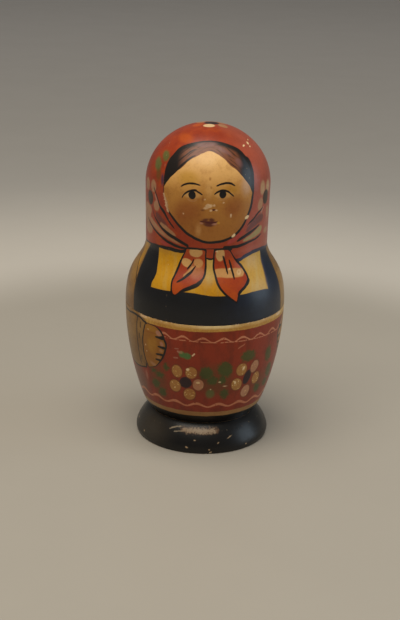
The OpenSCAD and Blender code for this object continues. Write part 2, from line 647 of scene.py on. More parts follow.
class Pigment(Enum):
    """Pigments, with their linear colours on the largest doll."""

    SCARF = (0.335, 0.041, 0.009)
    SCARF_LIGHT = (0.48, 0.080, 0.007)
    # Paler scarf red: painted sheen on the right of the scarf, and a few pale patches.
    SCARF_FADED = (0.42, 0.105, 0.062)
    SCARF_SHADE = (0.20, 0.024, 0.009)
    CRIMSON = (0.40, 0.050, 0.040)
    PLUM = (0.115, 0.042, 0.036)
    STRAW = (0.44, 0.225, 0.11)
    OLIVE = (0.36, 0.26, 0.10)
    SKIN = (0.57, 0.26, 0.047)
    SKIN_LIGHT = (0.82, 0.48, 0.175)
    SKIN_SHADE = (0.30, 0.095, 0.012)
    SKIN_GOLD = (0.54, 0.27, 0.022)
    HAND = (0.33, 0.130, 0.014)
    TEMPLE = (0.62, 0.38, 0.23)
    BLUSH = (0.26, 0.050, 0.008)
    LIPS = (0.090, 0.014, 0.009)
    ROSE = (0.46, 0.21, 0.14)
    HAIR = (0.014, 0.010, 0.008)
    HAIR_BROWN = (0.21, 0.072, 0.032)
    HAIR_MAUVE = (0.22, 0.095, 0.082)
    HAIR_STEEL = (0.034, 0.038, 0.047)
    BLOUSE = (0.57, 0.275, 0.010)
    BLOUSE_LIGHT = (0.54, 0.35, 0.09)
    VEST = (0.0105, 0.0105, 0.012)
    # Navy laid on the right of the vest as painted sheen.
    NAVY = (0.012, 0.017, 0.032)
    VIOLET = (0.032, 0.030, 0.060)
    SLEEVE = (0.34, 0.175, 0.04)
    SLEEVE_SHADE = (0.16, 0.075, 0.02)
    SKIRT = (0.275, 0.030, 0.007)
    SKIRT_SHADE = (0.155, 0.022, 0.006)
    # Pale brownish wash for the painted reflection on the skirt's left flank.
    SKIRT_SIDE = (0.18, 0.085, 0.055)
    BAND = (0.53, 0.265, 0.05)
    BAND_LIGHT = (0.82, 0.60, 0.28)
    BAND_LOW = (0.36, 0.185, 0.06)
    TRIM = (0.58, 0.21, 0.105)
    PETAL = (0.42, 0.185, 0.045)
    PETAL_PINK = (0.48, 0.22, 0.115)
    PETAL_LIGHT = (0.84, 0.62, 0.34)
    GOLD = (0.72, 0.48, 0.09)
    CREAM = (0.60, 0.325, 0.11)
    HEART = (0.028, 0.010, 0.012)
    SIDE_HEART = (0.040, 0.022, 0.010)
    LEAF = (0.046, 0.078, 0.013)
    LEAF_BROWN = (0.12, 0.052, 0.012)
    LEAF_BRIGHT = (0.075, 0.165, 0.042)
    LINE = (0.010, 0.008, 0.007)
    FOOT = (0.007, 0.006, 0.0055)
    CHIP = (0.78, 0.53, 0.30)
    WOOD = (0.70, 0.56, 0.38)


Paint = Union[Feed, Pigment]


class Touch:
    """Motifs painted with one pigment in one go."""

    def __init__(
        self,
        pigment: Pigment,
        *motifs: Motif,
        soft: float = SOFT_EDGE,
        share: float = 1.0,
        ragged: float = 0.0,
    ) -> None:
        """Plans the touch.

        Args:
            pigment: Pigment on the brush.
            motifs: What is painted.
            soft: Softness of the edges.
            share: How well the pigment covers.
            ragged: How far flaking has broken the edges, in millimetres.
        """
        self.pigment, self.motifs = pigment, motifs
        self.soft, self.share, self.ragged = soft, share, ragged


@dataclass(frozen=True)
class Flower:
    """Five-petalled flower with a dark heart.

    Attributes:
        heart: Dark middle.
        petals: Pigment and oval of each petal.
        heart_soft: Softness of the heart's edge.
        petal_soft: Softness of a petal's edge.
        rim: Width of the soft brown rim round a petal.
        rim_share: How well the rim covers.
        thick: How far in from the edge the paint lies thick.
    """

    heart: Dab
    petals: tuple[tuple[Pigment, Dab], ...]
    heart_soft: float = 0.3
    petal_soft: float = 0.22
    rim: float = 0.4
    rim_share: float = 0.5
    thick: float = 0.3


@dataclass(frozen=True)
class Wave:
    """Wavy line round a skirt.

    Attributes:
        level: Height of its middle.
        height: How far it swings from there.
        count: Number of waves round the skirt.
        lead: Where round it the waves start, in radians.
        half: Half its width.
    """

    level: float
    height: float
    count: int
    lead: float
    half: float


@dataclass(frozen=True)
class Fade:
    """Stretch of values over which a coat comes in.

    Attributes:
        start: Value where it starts.
        end: Value where it is full.
        share: How well the full coat covers.
    """

    start: float
    end: float
    share: float = 1.0

    def over(self, value: Value) -> Value:
        """How well the coat covers at a value."""
        way = value.ramp(self.start, self.end)
        return way if self.share == 1.0 else way * self.share


class Surface:
    """Where a point lies on a turned piece, in millimetres of the largest doll.

    Across runs round the piece from the middle of its front, to the right as it is looked at. Up runs
    along the side from the bottom, and on over the dome of the head.
    """

    WOBBLE = 0.6
    WOBBLE_SIZE = 4.0
    SIZE_NODE = "size_and_place"

    def __init__(self, graph: Graph, scale: float, base_z: float) -> None:
        """Works out the places.

        Args:
            graph: Graph that takes the nodes.
            scale: Size of the piece against the largest doll.
            base_z: Height of its bottom, in metres.
        """
        self.graph = graph
        place = graph.node("ShaderNodeTexCoord").outputs["Object"]
        sizing = graph.node(
            "ShaderNodeVectorMath", {"operation": "MULTIPLY_ADD", "label": self.SIZE_NODE}, {0: place}
        )
        self.resize(sizing, scale, base_z)
        self.body = sizing.outputs[0]
        self.x, self.y, self.z = graph.split(self.body)
        self.radius = graph.math("SQRT", self.x * self.x + self.y * self.y)
        self.turn = graph.math("ARCTAN2", self.x, -self.y)
        level, rise = OUTLINE.temple[1], OUTLINE.dome()
        slope = graph.math("ARCSINE", ((self.z - level) / rise | 0.0) & 1.0)
        self.up = (self.z & level) + slope * ((rise + OUTLINE.temple[0]) / 2)
        self.across = self.radius * self.turn
        centred = graph.vector("SUBTRACT", graph.scatter(self.body, self.WOBBLE_SIZE), (0.5, 0.5, 0.5))
        self.shift = graph.vector("MULTIPLY", centred, (self.WOBBLE, self.WOBBLE, 0.0))

    @staticmethod
    def resize(sizing: bpy.types.Node, scale: float, base_z: float) -> None:
        """Sets the node that turns metres into millimetres of the largest doll.

        Args:
            sizing: The node.
            scale: Size of the piece against the largest doll.
            base_z: Height of its bottom, in metres.
        """
        grow = 1.0 / (MM * scale)
        sizing.inputs[1].default_value = (grow, grow, grow)
        sizing.inputs[2].default_value = (0.0, 0.0, -base_z * grow)

    def facing(self, degrees: float) -> Value:
        """Across from the middle of another side, which looks this far round from the front."""
        turn = self.graph.math("WRAP", self.turn - math.radians(degrees), math.pi, -math.pi)
        return self.radius * turn

    def repeated(self, first: float, last: float) -> Value:
        """Across, where the stretch between two turns in degrees comes again all the way round."""
        return self.radius * self.graph.math("WRAP", self.turn, math.radians(last), math.radians(first))

    def shaky(self, across: Value, up: Value) -> Socket:
        """Place for drawing, moved a little as a hand moves a brush."""
        return self.graph.vector("ADD", self.graph.join(across, up), self.shift)


class Painter:
    """Paint of one piece, built up coat over coat."""

    SPECK_SIZE = 1.1
    CLOUD_SIZE = 16.0
    FLECK_SIZE = 0.9
    WEAR_NODE = "wear"
    WEAR_STEP = (31.0, 17.0)
    BACK = 186.0
    AMBER = (0.72, 0.56, 0.36)
    AMBER_FADE = Fade(0.42, 0.72, 0.6)
    GRIME = (0.60, 0.50, 0.38)
    GRIME_FADE = Fade(0.5, 0.7, 0.28)
    GOLD_FADE = Fade(0.58, 0.72)
    GOLD_SHARE = 0.7
    GLINT_FADE = Fade(0.86, 0.93)
    GLINT_GRAIN = 0.4
    EDGE: Fade
    EDGE_WORN = Fade(0.5, 0.6)
    CHIP_SIZE = 1.2
    CHIP_SHIFT = (9.0, 5.0, 3.0)
    CHIP_FADE = Fade(0.80, 0.83)
    CHIP_SHARE = 0.9
    CHIP_PULL = 0.28
    ROUGH = 0.26
    ROUGH_GRAIN = 0.2
    ROUGH_CHIP = 0.25
    RELIEF = 0.00006
    RELIEF_GRAIN = 0.5
    GLOSS = {"Coat Weight": 0.06, "Coat Roughness": 0.2, "Specular IOR Level": 0.3}

    def __init__(self, name: str, scale: float, base_z: float, seed: int) -> None:
        """Starts the paint.

        Args:
            name: Name of the material.
            scale: Size of the piece against the largest doll.
            base_z: Height of its bottom, in metres.
            seed: Number that sets this piece's wear apart from the others'.
        """
        self.graph = Graph(name)
        self.surface = Surface(self.graph, scale, base_z)
        self.flat = self.surface.shaky(self.surface.across, self.surface.up)
        wear = self.graph.node(
            "ShaderNodeVectorMath", {"operation": "ADD", "label": self.WEAR_NODE}, {0: self.surface.body}
        )
        self.weather(wear, seed)
        self.grain = wear.outputs[0]
        self.cloud = self.graph.noise(self.grain, self.CLOUD_SIZE, detail=4.0, rough=0.6)
        self.fine = self.graph.noise(self.grain, self.SPECK_SIZE, detail=4.0, rough=0.6)
        self.fleck = self.graph.noise(self.grain, self.FLECK_SIZE, detail=1.0)
        self.colour: Feed = Pigment.WOOD.value

    @classmethod
    def weather(cls, wear: bpy.types.Node, seed: int) -> None:
        """Sets the node that gives a piece its own wear."""
        wear.inputs[1].default_value = (*(step * seed for step in cls.WEAR_STEP), 0.0)

    def blend(self, share: Number, first: Paint, second: Paint) -> Socket:
        """Mixes two paints."""
        pots = [paint.value if isinstance(paint, Pigment) else paint for paint in (first, second)]
        return self.graph.mix(share, *pots)

    def lay(self, paint: Paint, mask: Number) -> None:
        """Lays a coat where a mask shows it."""
        self.colour = self.blend(mask, self.colour, paint)

    def glaze(self, colour: Colour, mask: Number) -> None:
        """Tints what is there, as a thin clear coat does."""
        self.colour = self.graph.mix(mask, self.colour, colour, "MULTIPLY")

    def shape(self, motifs: Sequence[Motif], flat: Optional[Socket] = None) -> Value:
        """Joins motifs into one shape.

        Args:
            motifs: Motifs to join.
            flat: Place to draw them at, if not the front's.

        Returns:
            Millimetres inside the nearest edge.
        """
        joined: Optional[Value] = None
        for motif in motifs:
            inside = motif.inside(self.graph, flat or self.flat)
            joined = inside if joined is None else joined | inside
        return joined

    def touch(self, touches: Sequence[Touch], flat: Optional[Socket] = None) -> None:
        """Paints touches in order.

        Args:
            touches: What to paint.
            flat: Place to paint at, if not the front's.
        """
        for touch in touches:
            inside = self.shape(touch.motifs, flat)
            if touch.ragged:
                inside = inside + (self.fine - 0.5) * touch.ragged
            mask = inside.mask(touch.soft)
            self.lay(touch.pigment, mask if touch.share == 1.0 else mask * touch.share)

    def bloom(self, flower: Flower, flat: Optional[Socket] = None) -> None:
        """Paints a flower: its heart, then its petals, with gold flecks and painted glints where the paint
        lies thick.

        Args:
            flower: What to paint.
            flat: Place to paint at, if not the front's.
        """
        self.touch([Touch(Pigment.HEART, flower.heart, soft=flower.heart_soft)], flat)
        joined: Optional[Value] = None
        for pigment, petal in flower.petals:
            inside = petal.inside(self.graph, flat or self.flat)
            self.lay(Pigment.LEAF_BROWN, (inside + flower.rim).mask(flower.rim) * flower.rim_share)
            self.lay(pigment, inside.mask(flower.petal_soft))
            joined = inside if joined is None else joined | inside
        thick = (joined - flower.thick).mask(flower.thick)
        self.lay(Pigment.GOLD, thick * self.GOLD_FADE.over(self.fleck) * self.GOLD_SHARE)
        # Painted highlights: pale glints in the thick paint of the petals.
        glint = self.fleck + self.fine * self.GLINT_GRAIN
        self.lay(Pigment.PETAL_LIGHT, thick * self.GLINT_FADE.over(glint))

    def age(self) -> bpy.types.Material:
        """Adds amber varnish, grime, chips, most of them at the edge, and fine relief, and ends the paint.

        Returns:
            The finished material.
        """
        graph = self.graph
        worn = self.EDGE.over(self.surface.z) * self.EDGE_WORN.over(self.cloud)
        self.glaze(self.AMBER, self.AMBER_FADE.over(self.cloud))
        self.glaze(self.GRIME, self.GRIME_FADE.over(self.fine))
        apart = graph.vector("ADD", self.grain, self.CHIP_SHIFT)
        speck = graph.noise(apart, self.CHIP_SIZE, detail=3.0, rough=0.55)
        chips = self.CHIP_FADE.over(speck + worn * self.CHIP_PULL)
        self.lay(Pigment.CHIP, chips * self.CHIP_SHARE)
        rough = self.ROUGH + self.fine * self.ROUGH_GRAIN + chips * self.ROUGH_CHIP
        relief = self.fine * self.RELIEF_GRAIN - chips
        return graph.surface(self.colour, rough, relief, self.RELIEF, self.GLOSS)


class ScarfPainter(Painter):
    """Paint of an upper half: head scarf, face, blouse and vest."""

    FACE = Patch(
        (
            (-21.1, 107.6), (-21.4, 113.9), (-21.2, 119.0), (-19.4, 124.2), (-16.3, 128.6), (-12.8, 132.2),
            (-9.2, 134.3), (-4.9, 136.0), (-1.1, 136.9), (3.5, 136.7), (8.8, 134.6), (14.0, 131.6),
            (17.8, 127.7), (20.6, 123.6), (21.9, 119.0), (22.0, 113.2), (21.6, 108.8), (20.6, 103.6),
            (18.9, 99.8), (16.8, 96.2), (13.9, 93.1), (9.9, 91.0), (5.2, 89.8), (-0.7, 89.7), (-7.0, 92.1),
            (-10.9, 94.7), (-14.3, 97.7), (-17.8, 101.2), (-19.9, 104.4),
        ),
    )
    HAIRLINE = (
        (-23.0, 108.6), (-21.2, 112.6), (-18.8, 116.1), (-15.5, 119.5), (-10.7, 124.0), (-8.8, 126.0),
        (-4.4, 129.0), (-2.5, 130.3), (0.3, 131.4), (2.6, 130.6), (6.2, 128.2), (9.2, 124.9), (13.7, 121.2),
        (17.5, 117.0), (20.4, 113.5), (21.6, 111.0), (23.0, 107.5),
    )
    HAIR_TOUCHES = (
        Touch(
            Pigment.HAIR_MAUVE, Dab(-1.2, 134.9, 4.4, 1.4, 8.0), Dab(6.5, 131.8, 4.5, 0.8, -35.0), soft=0.5,
            share=0.8,
        ),
        Touch(Pigment.HAIR_MAUVE, Dab(14.3, 125.2, 1.3, 2.6, 40.0), soft=0.7, share=0.75),
        Touch(
            Pigment.HAIR,
            Stroke(
                (-18.0, 118.0), (-15.2, 120.7, 0.9), (-10.4, 125.3, 0.9), (-7.0, 128.1, 0.6), (-5.0, 129.3),
            ),
            Stroke((-16.4, 122.8), (-12.0, 127.0, 0.55), (-8.0, 130.6, 0.55), (-4.5, 132.6)),
            soft=0.25,
        ),
        Touch(
            Pigment.CHIP, Dab(18.5, 122.0, 0.3, 0.25), Dab(19.7, 117.6, 0.3, 0.25),
            Dab(17.6, 119.4, 0.2, 0.2),
        ),
    )
    SCARF_HEM = (
        (-60.0, 81.8), (-36.5, 83.0), (-24.3, 84.0), (-18.1, 84.2), (-12.0, 84.0), (-9.0, 85.4),
        (-7.1, 86.2), (-2.5, 86.0), (2.9, 86.2), (8.1, 86.3), (10.2, 85.8), (12.0, 83.0), (14.5, 80.2),
        (17.9, 81.2), (21.7, 82.1), (25.6, 82.6), (30.1, 82.6), (40.4, 81.6), (60.0, 81.6),
    )
    HEM_WIDTH = (
        (-60.0, 0.8), (-31.0, 0.8), (-24.0, 1.3), (-12.0, 1.7), (-9.0, 0.9), (-6.0, 0.5), (9.0, 0.5),
        (13.0, 1.2), (18.0, 1.7), (30.0, 1.5), (40.0, 0.9), (60.0, 0.8),
    )
    SCARF_POINT = 57.0
    POINT_SLOPE = 0.75
    CROWN = Fade(140.0, 141.0)
    VEST_BACK_HALF = 27.0
    VEST_LINE_SHARE = 0.9
    HALF_LINE = 0.5
    EDGE = Fade(OUTLINE.belly[1] + 0.7, OUTLINE.belly[1] + 0.1)
    SLEEVE_FADE = Fade(0.4, 0.6, 0.6)
    STREAK_RUN = (1.0, 0.2, 1.0)
    STREAK_SIZE = 2.2
    STREAK_FADE = Fade(0.46, 0.7, 0.35)
    PALE_FADE = Fade(8.0, 27.0, 0.5)
    NAVY_IN = Fade(2.0, 26.0)
    NAVY_OUT = Fade(0.0, 20.0)
    NAVY_END = 60.0
    BRUSH_SIZE = 7.0
    BRUSH_LIGHT = Fade(0.5, 0.72, 0.5)
    BRUSH_SHADE = Fade(0.5, 0.3, 0.4)
    RIGHT_SHEEN = Fade(0.3, 0.9, 0.6)
    VIOLET_IN = Fade(13.0, 16.0)
    VIOLET_OUT = Fade(60.0, 45.0)
    VIOLET_SHARE = 0.85
    TAIL_FADE = Fade(0.4, 0.6, 0.7)
    CHIN = Fade(116.0, 94.0)
    CHIN_SHADE = 0.75
    CHIN_INSET = 0.35
    BROW = Fade(108.0, 126.0, 0.8)
    CHEEK_OUT = Fade(18.0, 20.0)
    CHEEK_UP = Fade(98.0, 106.0)
    FACE_LINE = 0.3
    LINE_SWELL = 0.6
    LINE_WORN = Fade(-0.6, 0.8)
    MOTTLE_SIZE = 6.0
    MOTTLE_FADE = Fade(0.48, 0.7, 0.35)
    LOCK_RUN = (1.1, 0.14)
    LOCK_FADE = Fade(0.28, 0.5)
    PARTING = 1.0
    PARTING_HALF = 16.0
    PARTING_FADE = Fade(0.0, 5.0)
    BROWN_EDGE = Fade(0.9, 2.8)
    STEEL_OUT = Fade(14.0, 17.5)
    STEEL_EDGE = Fade(0.6, 1.6)
    STEEL_SHARE = 0.85
    STRAP_LEFT_OUT = ((53.0, -39.2), (61.8, -39.5), (68.9, -38.3), (75.6, -36.4), (83.0, -31.3))
    STRAP_LEFT_IN = ((53.0, -27.4), (67.0, -27.0), (71.0, -25.2), (75.4, -24.2), (84.0, -24.2))
    STRAP_RIGHT_IN = ((53.0, 33.6), (66.3, 33.1), (73.6, 31.4), (81.5, 29.6))
    STRAP_RIGHT_OUT = ((53.0, 45.2), (61.5, 44.9), (70.8, 42.2), (80.5, 37.4))
    VEST_TOP = (
        (-30.0, 66.8), (-18.8, 67.0), (-8.6, 67.6), (-0.8, 67.0), (7.8, 66.4), (17.6, 66.4), (23.9, 66.7),
        (34.0, 65.9),
    )
    CLOTHES_TOUCHES = (
        Touch(
            Pigment.BLOUSE,
            Stroke((-41.6, 70.0), (-40.6, 73.0, 2.0), (-38.6, 78.0, 3.0), (-35.6, 83.0, 3.2), steep=True),
            soft=0.5, share=0.6,
        ),
        Touch(
            Pigment.BLOUSE_LIGHT, Dab(1.9, 77.0, 2.4, 6.0), Dab(-0.6, 74.8, 1.6, 0.6), soft=0.8, share=0.85,
        ),
        Touch(
            Pigment.LINE,
            Stroke((-43.6, 77.2), (-42.8, 75.4, 0.6), (-39.8, 68.0, 0.6), (-39.2, 65.4), steep=True),
        ),
        # Painted highlight: a violet streak down the inner edge of the right strap.
        Touch(
            Pigment.VIOLET,
            Stroke((33.4, 65.0), (32.6, 69.0, 1.4), (31.0, 76.0, 1.6), (29.4, 81.5), steep=True),
            soft=0.5, share=0.8,
        ),
    )
    SCARF_TOUCHES = (
        Touch(Pigment.SCARF_LIGHT, Dab(-11.6, 137.4, 4.2, 2.8), soft=1.3, share=0.8),
        Touch(
            Pigment.LEAF_BRIGHT, Dab(-21.9, 126.2, 2.5, 2.3, 30.0), Dab(-27.0, 121.6, 2.6, 3.0), soft=1.0,
            share=0.75, ragged=2.0,
        ),
        Touch(Pigment.LEAF, Dab(-25.6, 117.4, 1.8, 3.0), soft=1.0, share=0.5),
        Touch(Pigment.VIOLET, Dab(-22.6, 115.2, 0.9, 2.6), soft=0.5, share=0.8),
        Touch(
            Pigment.STRAW, Dab(-29.2, 111.0, 2.3, 2.9), Dab(-35.5, 110.6, 2.5, 2.9),
            Dab(-26.6, 102.4, 2.2, 2.3), Dab(-33.2, 99.2, 2.6, 2.0), Dab(29.6, 111.4, 2.1, 3.1),
            Dab(35.2, 111.0, 2.4, 2.9), Dab(28.1, 104.0, 1.9, 3.0, -12.0), soft=0.5, share=0.9,
        ),
        Touch(
            Pigment.PETAL_LIGHT, Dab(29.6, 111.4, 1.8, 2.8), Dab(35.2, 111.0, 2.0, 2.5), soft=1.2,
            share=0.3,
        ),
        Touch(
            Pigment.ROSE, Sweep((-27.7, 108.0), (-26.0, 103.6), 1.3),
            Sweep((31.3, 102.6), (28.8, 99.4), 1.3, -0.3), soft=0.4, share=0.85,
        ),
        Touch(Pigment.SIDE_HEART, Dab(-32.1, 105.0, 2.9, 3.4), Dab(32.9, 106.5, 2.9, 3.4), soft=0.4),
        Touch(
            Pigment.PLUM,
            Stroke((-27.5, 99.0), (-25.5, 97.8, 3.2), (-20.6, 95.4, 2.2), (-17.5, 93.6)),
            soft=0.8, share=0.8,
        ),
        Touch(
            Pigment.PLUM,
            Stroke((18.0, 92.6), (20.0, 93.8, 2.2), (24.0, 96.2, 3.8), (29.4, 97.6, 3.6), (32.0, 97.6)),
            soft=0.8, share=0.8,
        ),
        Touch(
            Pigment.STRAW,
            Stroke(
                (-24.0, 95.0), (-22.6, 94.4, 2.0), (-18.9, 92.9, 2.2), (-15.2, 91.2, 1.2), (-13.8, 90.5),
            ),
            soft=0.4,
        ),
        Touch(
            Pigment.STRAW,
            Stroke(
                (-32.8, 95.4), (-30.6, 94.4, 2.6), (-24.8, 91.9, 2.4), (-19.9, 89.9, 1.6),
                (-14.0, 88.0, 0.9), (-10.0, 86.8),
            ),
            Dab(-33.5, 90.4, 4.0, 2.6), Dab(-36.0, 97.0, 4.5, 5.0), Dab(36.0, 98.6, 2.2, 3.0),
            Dab(35.0, 90.4, 2.4, 1.4), soft=0.6, share=0.9,
        ),
        Touch(
            Pigment.OLIVE,
            Stroke((16.5, 88.5), (18.2, 89.0, 1.0), (23.1, 90.4, 2.2), (28.6, 92.2, 3.2), (30.8, 93.0)),
            soft=0.35,
        ),
        Touch(
            Pigment.CRIMSON,
            Stroke((9.0, 88.3), (10.5, 88.9, 1.4), (12.7, 90.0, 1.7), (16.2, 92.4, 1.3), (18.6, 94.2)),
            Dab(-20.5, 86.2, 3.2, 0.9, -8.0), Dab(33.5, 97.6, 0.7, 2.8, -15.0), soft=0.5, share=0.85,
        ),
        Touch(
            Pigment.SCARF_FADED, Dab(34.6, 94.6, 2.2, 2.6), Dab(25.0, 84.4, 9.0, 1.2, 4.0), soft=1.0,
            share=0.7,
        ),
    )
    FOLDS = (
        Stroke(
            (-28.9, 111.4), (-28.4, 110.2, 0.7), (-25.9, 106.2, 0.9), (-23.8, 102.7, 1.0),
            (-20.8, 100.4, 1.2), (-18.6, 97.6, 0.9), (-15.6, 94.6, 0.5), (-14.6, 93.6),
        ),
        Stroke(
            (-30.6, 102.0), (-29.9, 100.6, 0.5), (-28.7, 98.3, 0.6), (-26.7, 96.1, 0.9), (-23.6, 93.8, 1.1),
            (-19.9, 91.7, 1.3), (-16.3, 90.2, 1.4), (-12.1, 88.6, 1.3), (-8.6, 87.1, 1.0), (-7.6, 86.8),
        ),
        Stroke(
            (-35.4, 95.2), (-34.5, 94.5, 0.6), (-30.9, 92.4, 0.9), (-26.6, 90.3, 1.1), (-21.6, 88.4, 1.2),
            (-17.5, 87.0, 1.3), (-12.6, 86.0, 1.2), (-8.4, 85.6, 0.9), (-7.4, 85.5),
        ),
        Stroke(
            (18.6, 94.8), (20.4, 96.4, 0.6), (23.4, 98.2, 0.9), (25.7, 99.9, 0.9), (29.4, 101.7, 0.7),
            (31.6, 103.2),
        ),
        Stroke(
            (13.4, 88.8), (15.4, 89.7, 1.3), (17.8, 90.7, 1.4), (21.1, 92.0, 1.4), (23.7, 92.9, 1.2),
            (26.6, 94.0, 0.9), (28.9, 95.0),
        ),
        Stroke(
            (7.2, 86.7), (8.7, 86.7, 1.5), (13.4, 86.7, 1.5), (18.0, 87.2, 1.4), (21.0, 87.8, 1.2),
            (24.8, 88.4, 1.0), (28.4, 89.3, 0.8), (31.7, 90.6),
        ),
    )
    CROWN_TOUCHES = (
        Touch(Pigment.HEART, Dab(0.9, 0.6, 3.4, 3.0), soft=0.3),
        Touch(Pigment.PETAL_LIGHT, Dab(-0.2, -4.1, 2.6, 2.0), soft=0.25, share=0.85),
        Touch(
            Pigment.STRAW, Dab(6.0, -2.2, 2.3, 2.0, -40.0), Dab(5.6, 3.6, 2.4, 2.0, 35.0),
            Dab(0.8, 6.2, 2.6, 2.1), Dab(-4.0, 3.4, 2.4, 2.0, -35.0), soft=0.3,
        ),
        Touch(Pigment.SCARF_LIGHT, Dab(-5.2, -2.0, 2.5, 2.0, 35.0), soft=0.5),
    )
    LOWER_WORN = Dab(-21.2, 105.4, 2.6, 4.6)
    SKIN_TOUCHES = (
        # A soft pale glow high on the forehead, partly painted highlight, partly the face's own tone.
        Touch(Pigment.SKIN_LIGHT, Dab(0.4, 128.6, 5.5, 3.2), soft=2.2, share=0.75),
        Touch(
            Pigment.SKIN_GOLD, Dab(-9.0, 118.2, 4.6, 3.0), Dab(10.4, 113.4, 3.0, 1.6), soft=1.8, share=0.6,
        ),
        Touch(Pigment.TEMPLE, Dab(18.2, 114.6, 2.4, 4.2), soft=1.6, share=0.7),
        Touch(
            Pigment.BLUSH, Dab(-8.6, 104.0, 5.4, 4.4), Dab(-11.5, 101.6, 3.6, 3.4),
            Dab(12.0, 105.2, 4.6, 4.2), soft=3.0, share=0.55,
        ),
        Touch(
            Pigment.SKIN_LIGHT, Dab(0.4, 113.0, 1.5, 3.4), Dab(-3.8, 94.8, 1.0, 2.2), soft=1.0, share=0.32,
        ),
        Touch(
            Pigment.SKIN_SHADE, Dab(0.8, 118.4, 0.4, 0.6), Dab(1.6, 114.4, 0.3, 0.45),
            Dab(-2.0, 109.0, 0.5, 1.4), soft=0.4, share=0.7,
        ),
    )
    FEATURES = (
        Touch(
            Pigment.SKIN_LIGHT, Dab(-6.9, 110.6, 3.9, 1.5), Dab(7.0, 111.1, 3.9, 1.5), soft=0.5, share=0.4,
        ),
        Touch(
            Pigment.TEMPLE, Sweep((-9.4, 109.0), (-4.4, 109.0), 0.5, -1.0),
            Sweep((4.2, 109.7), (9.2, 109.7), 0.5, -1.0), soft=0.3, share=0.2,
        ),
        Touch(Pigment.LINE, Dab(-6.9, 110.7, 1.65, 1.9), Dab(6.7, 111.3, 1.6, 1.85)),
        Touch(
            Pigment.LINE,
            Stroke(
                (-12.6, 113.8), (-11.6, 114.5, 0.8), (-10.1, 115.3, 0.9), (-6.8, 116.0, 0.9),
                (-4.2, 115.6, 0.75), (-2.8, 115.2),
            ),
            Stroke(
                (3.3, 115.1), (4.4, 115.5, 0.85), (6.5, 116.2, 0.95), (8.0, 116.4, 0.95),
                (9.6, 116.2, 0.95), (11.6, 115.3, 0.85), (12.7, 114.6),
            ),
            Stroke(
                (-11.8, 108.6), (-11.3, 109.5, 1.0), (-10.0, 111.2, 1.05), (-8.4, 112.3, 1.0),
                (-5.8, 112.9, 1.0), (-4.2, 112.2, 0.9), (-2.6, 111.3, 0.75), (-2.0, 111.0),
            ),
            Stroke(
                (2.6, 111.2), (3.3, 111.7, 0.85), (4.7, 112.6, 1.0), (6.6, 113.1, 1.05), (8.8, 112.6, 1.0),
                (10.5, 111.3, 0.95), (11.4, 110.5, 0.85), (12.0, 109.9),
            ),
        ),
        Touch(Pigment.LIPS, Dab(2.9, 104.4, 0.75, 0.45), soft=0.2),
        Touch(Pigment.LIPS, Dab(-2.0, 104.1, 0.9, 0.4), soft=0.35, share=0.6),
        Touch(
            Pigment.LIPS, Dab(-0.7, 99.6, 1.4, 0.7, 12.0), Dab(2.0, 99.6, 1.3, 0.8, -12.0),
            Dab(0.9, 97.7, 2.5, 1.2), soft=0.5, share=0.9,
        ),
        Touch(
            Pigment.ROSE, Dab(3.4, 97.9, 1.1, 0.5, 8.0), Dab(-2.4, 98.0, 0.7, 0.4), soft=0.35, share=0.75,
        ),
        Touch(Pigment.SKIN_GOLD, Dab(5.2, 98.4, 0.6, 0.5), soft=0.3, share=0.9),
        Touch(
            Pigment.LIPS,
            Stroke(
                (-3.6, 99.0), (-2.8, 98.9, 0.5), (-0.8, 98.7, 0.75), (1.4, 98.5, 1.1), (3.2, 98.6, 0.75),
                (4.4, 98.9, 0.5), (5.1, 99.2),
            ),
        ),
    )
    FLAKES = (
        Touch(
            Pigment.STRAW,
            Stroke(
                (-18.0, 100.2), (-18.8, 101.8, 1.2), (-19.4, 104.0, 1.6), (-20.4, 106.6, 1.4),
                (-21.4, 109.0, 0.9), (-21.6, 110.2), steep=True,
            ),
            soft=0.3, share=0.75, ragged=2.6,
        ),
        Touch(
            Pigment.CHIP,
            Stroke(
                (-18.0, 100.2), (-19.2, 102.6, 0.8), (-20.2, 105.6, 0.8), (-21.4, 109.0, 0.6),
                (-21.6, 110.2), steep=True,
            ),
            soft=0.2, share=0.55, ragged=4.0,
        ),
        Touch(
            Pigment.CHIP, Dab(0.7, 106.2, 1.4, 0.9), Dab(-0.6, 105.1, 0.9, 0.5), Dab(1.7, 104.2, 0.6, 0.45),
            Dab(4.0, 104.1, 0.4, 0.35), Dab(3.0, 106.4, 0.4, 0.4), Dab(-1.1, 109.0, 0.35, 0.25),
            Dab(10.7, 101.4, 0.55, 0.65), Dab(7.2, 107.5, 0.4, 0.35), Dab(-10.9, 101.8, 0.35, 0.35),
            soft=0.25, share=0.85, ragged=1.2,
        ),
        Touch(
            Pigment.PETAL_LIGHT, Dab(19.1, 99.6, 1.2, 0.7, 30.0), Dab(12.3, 92.0, 1.1, 0.6, 40.0),
            Dab(17.7, 132.8, 0.7, 0.5), Dab(21.6, 133.4, 0.9, 0.5, -40.0), Dab(22.5, 131.6, 0.5, 0.4),
            Dab(23.2, 134.6, 0.5, 0.4), soft=0.2, share=1.0, ragged=0.9,
        ),
    )
    TAIL_LEFT = Patch(
        (
            (-8.9, 86.0), (-11.2, 80.2), (-13.5, 75.2), (-15.2, 71.8), (-15.8, 68.7), (-15.4, 66.4),
            (-14.5, 65.2), (-10.9, 67.8), (-6.6, 69.8), (-3.5, 71.2), (-1.2, 73.3), (-0.2, 75.5),
            (0.0, 78.6), (-0.1, 81.7), (-0.2, 86.0),
        ),
        (0, 6, 14),
    )
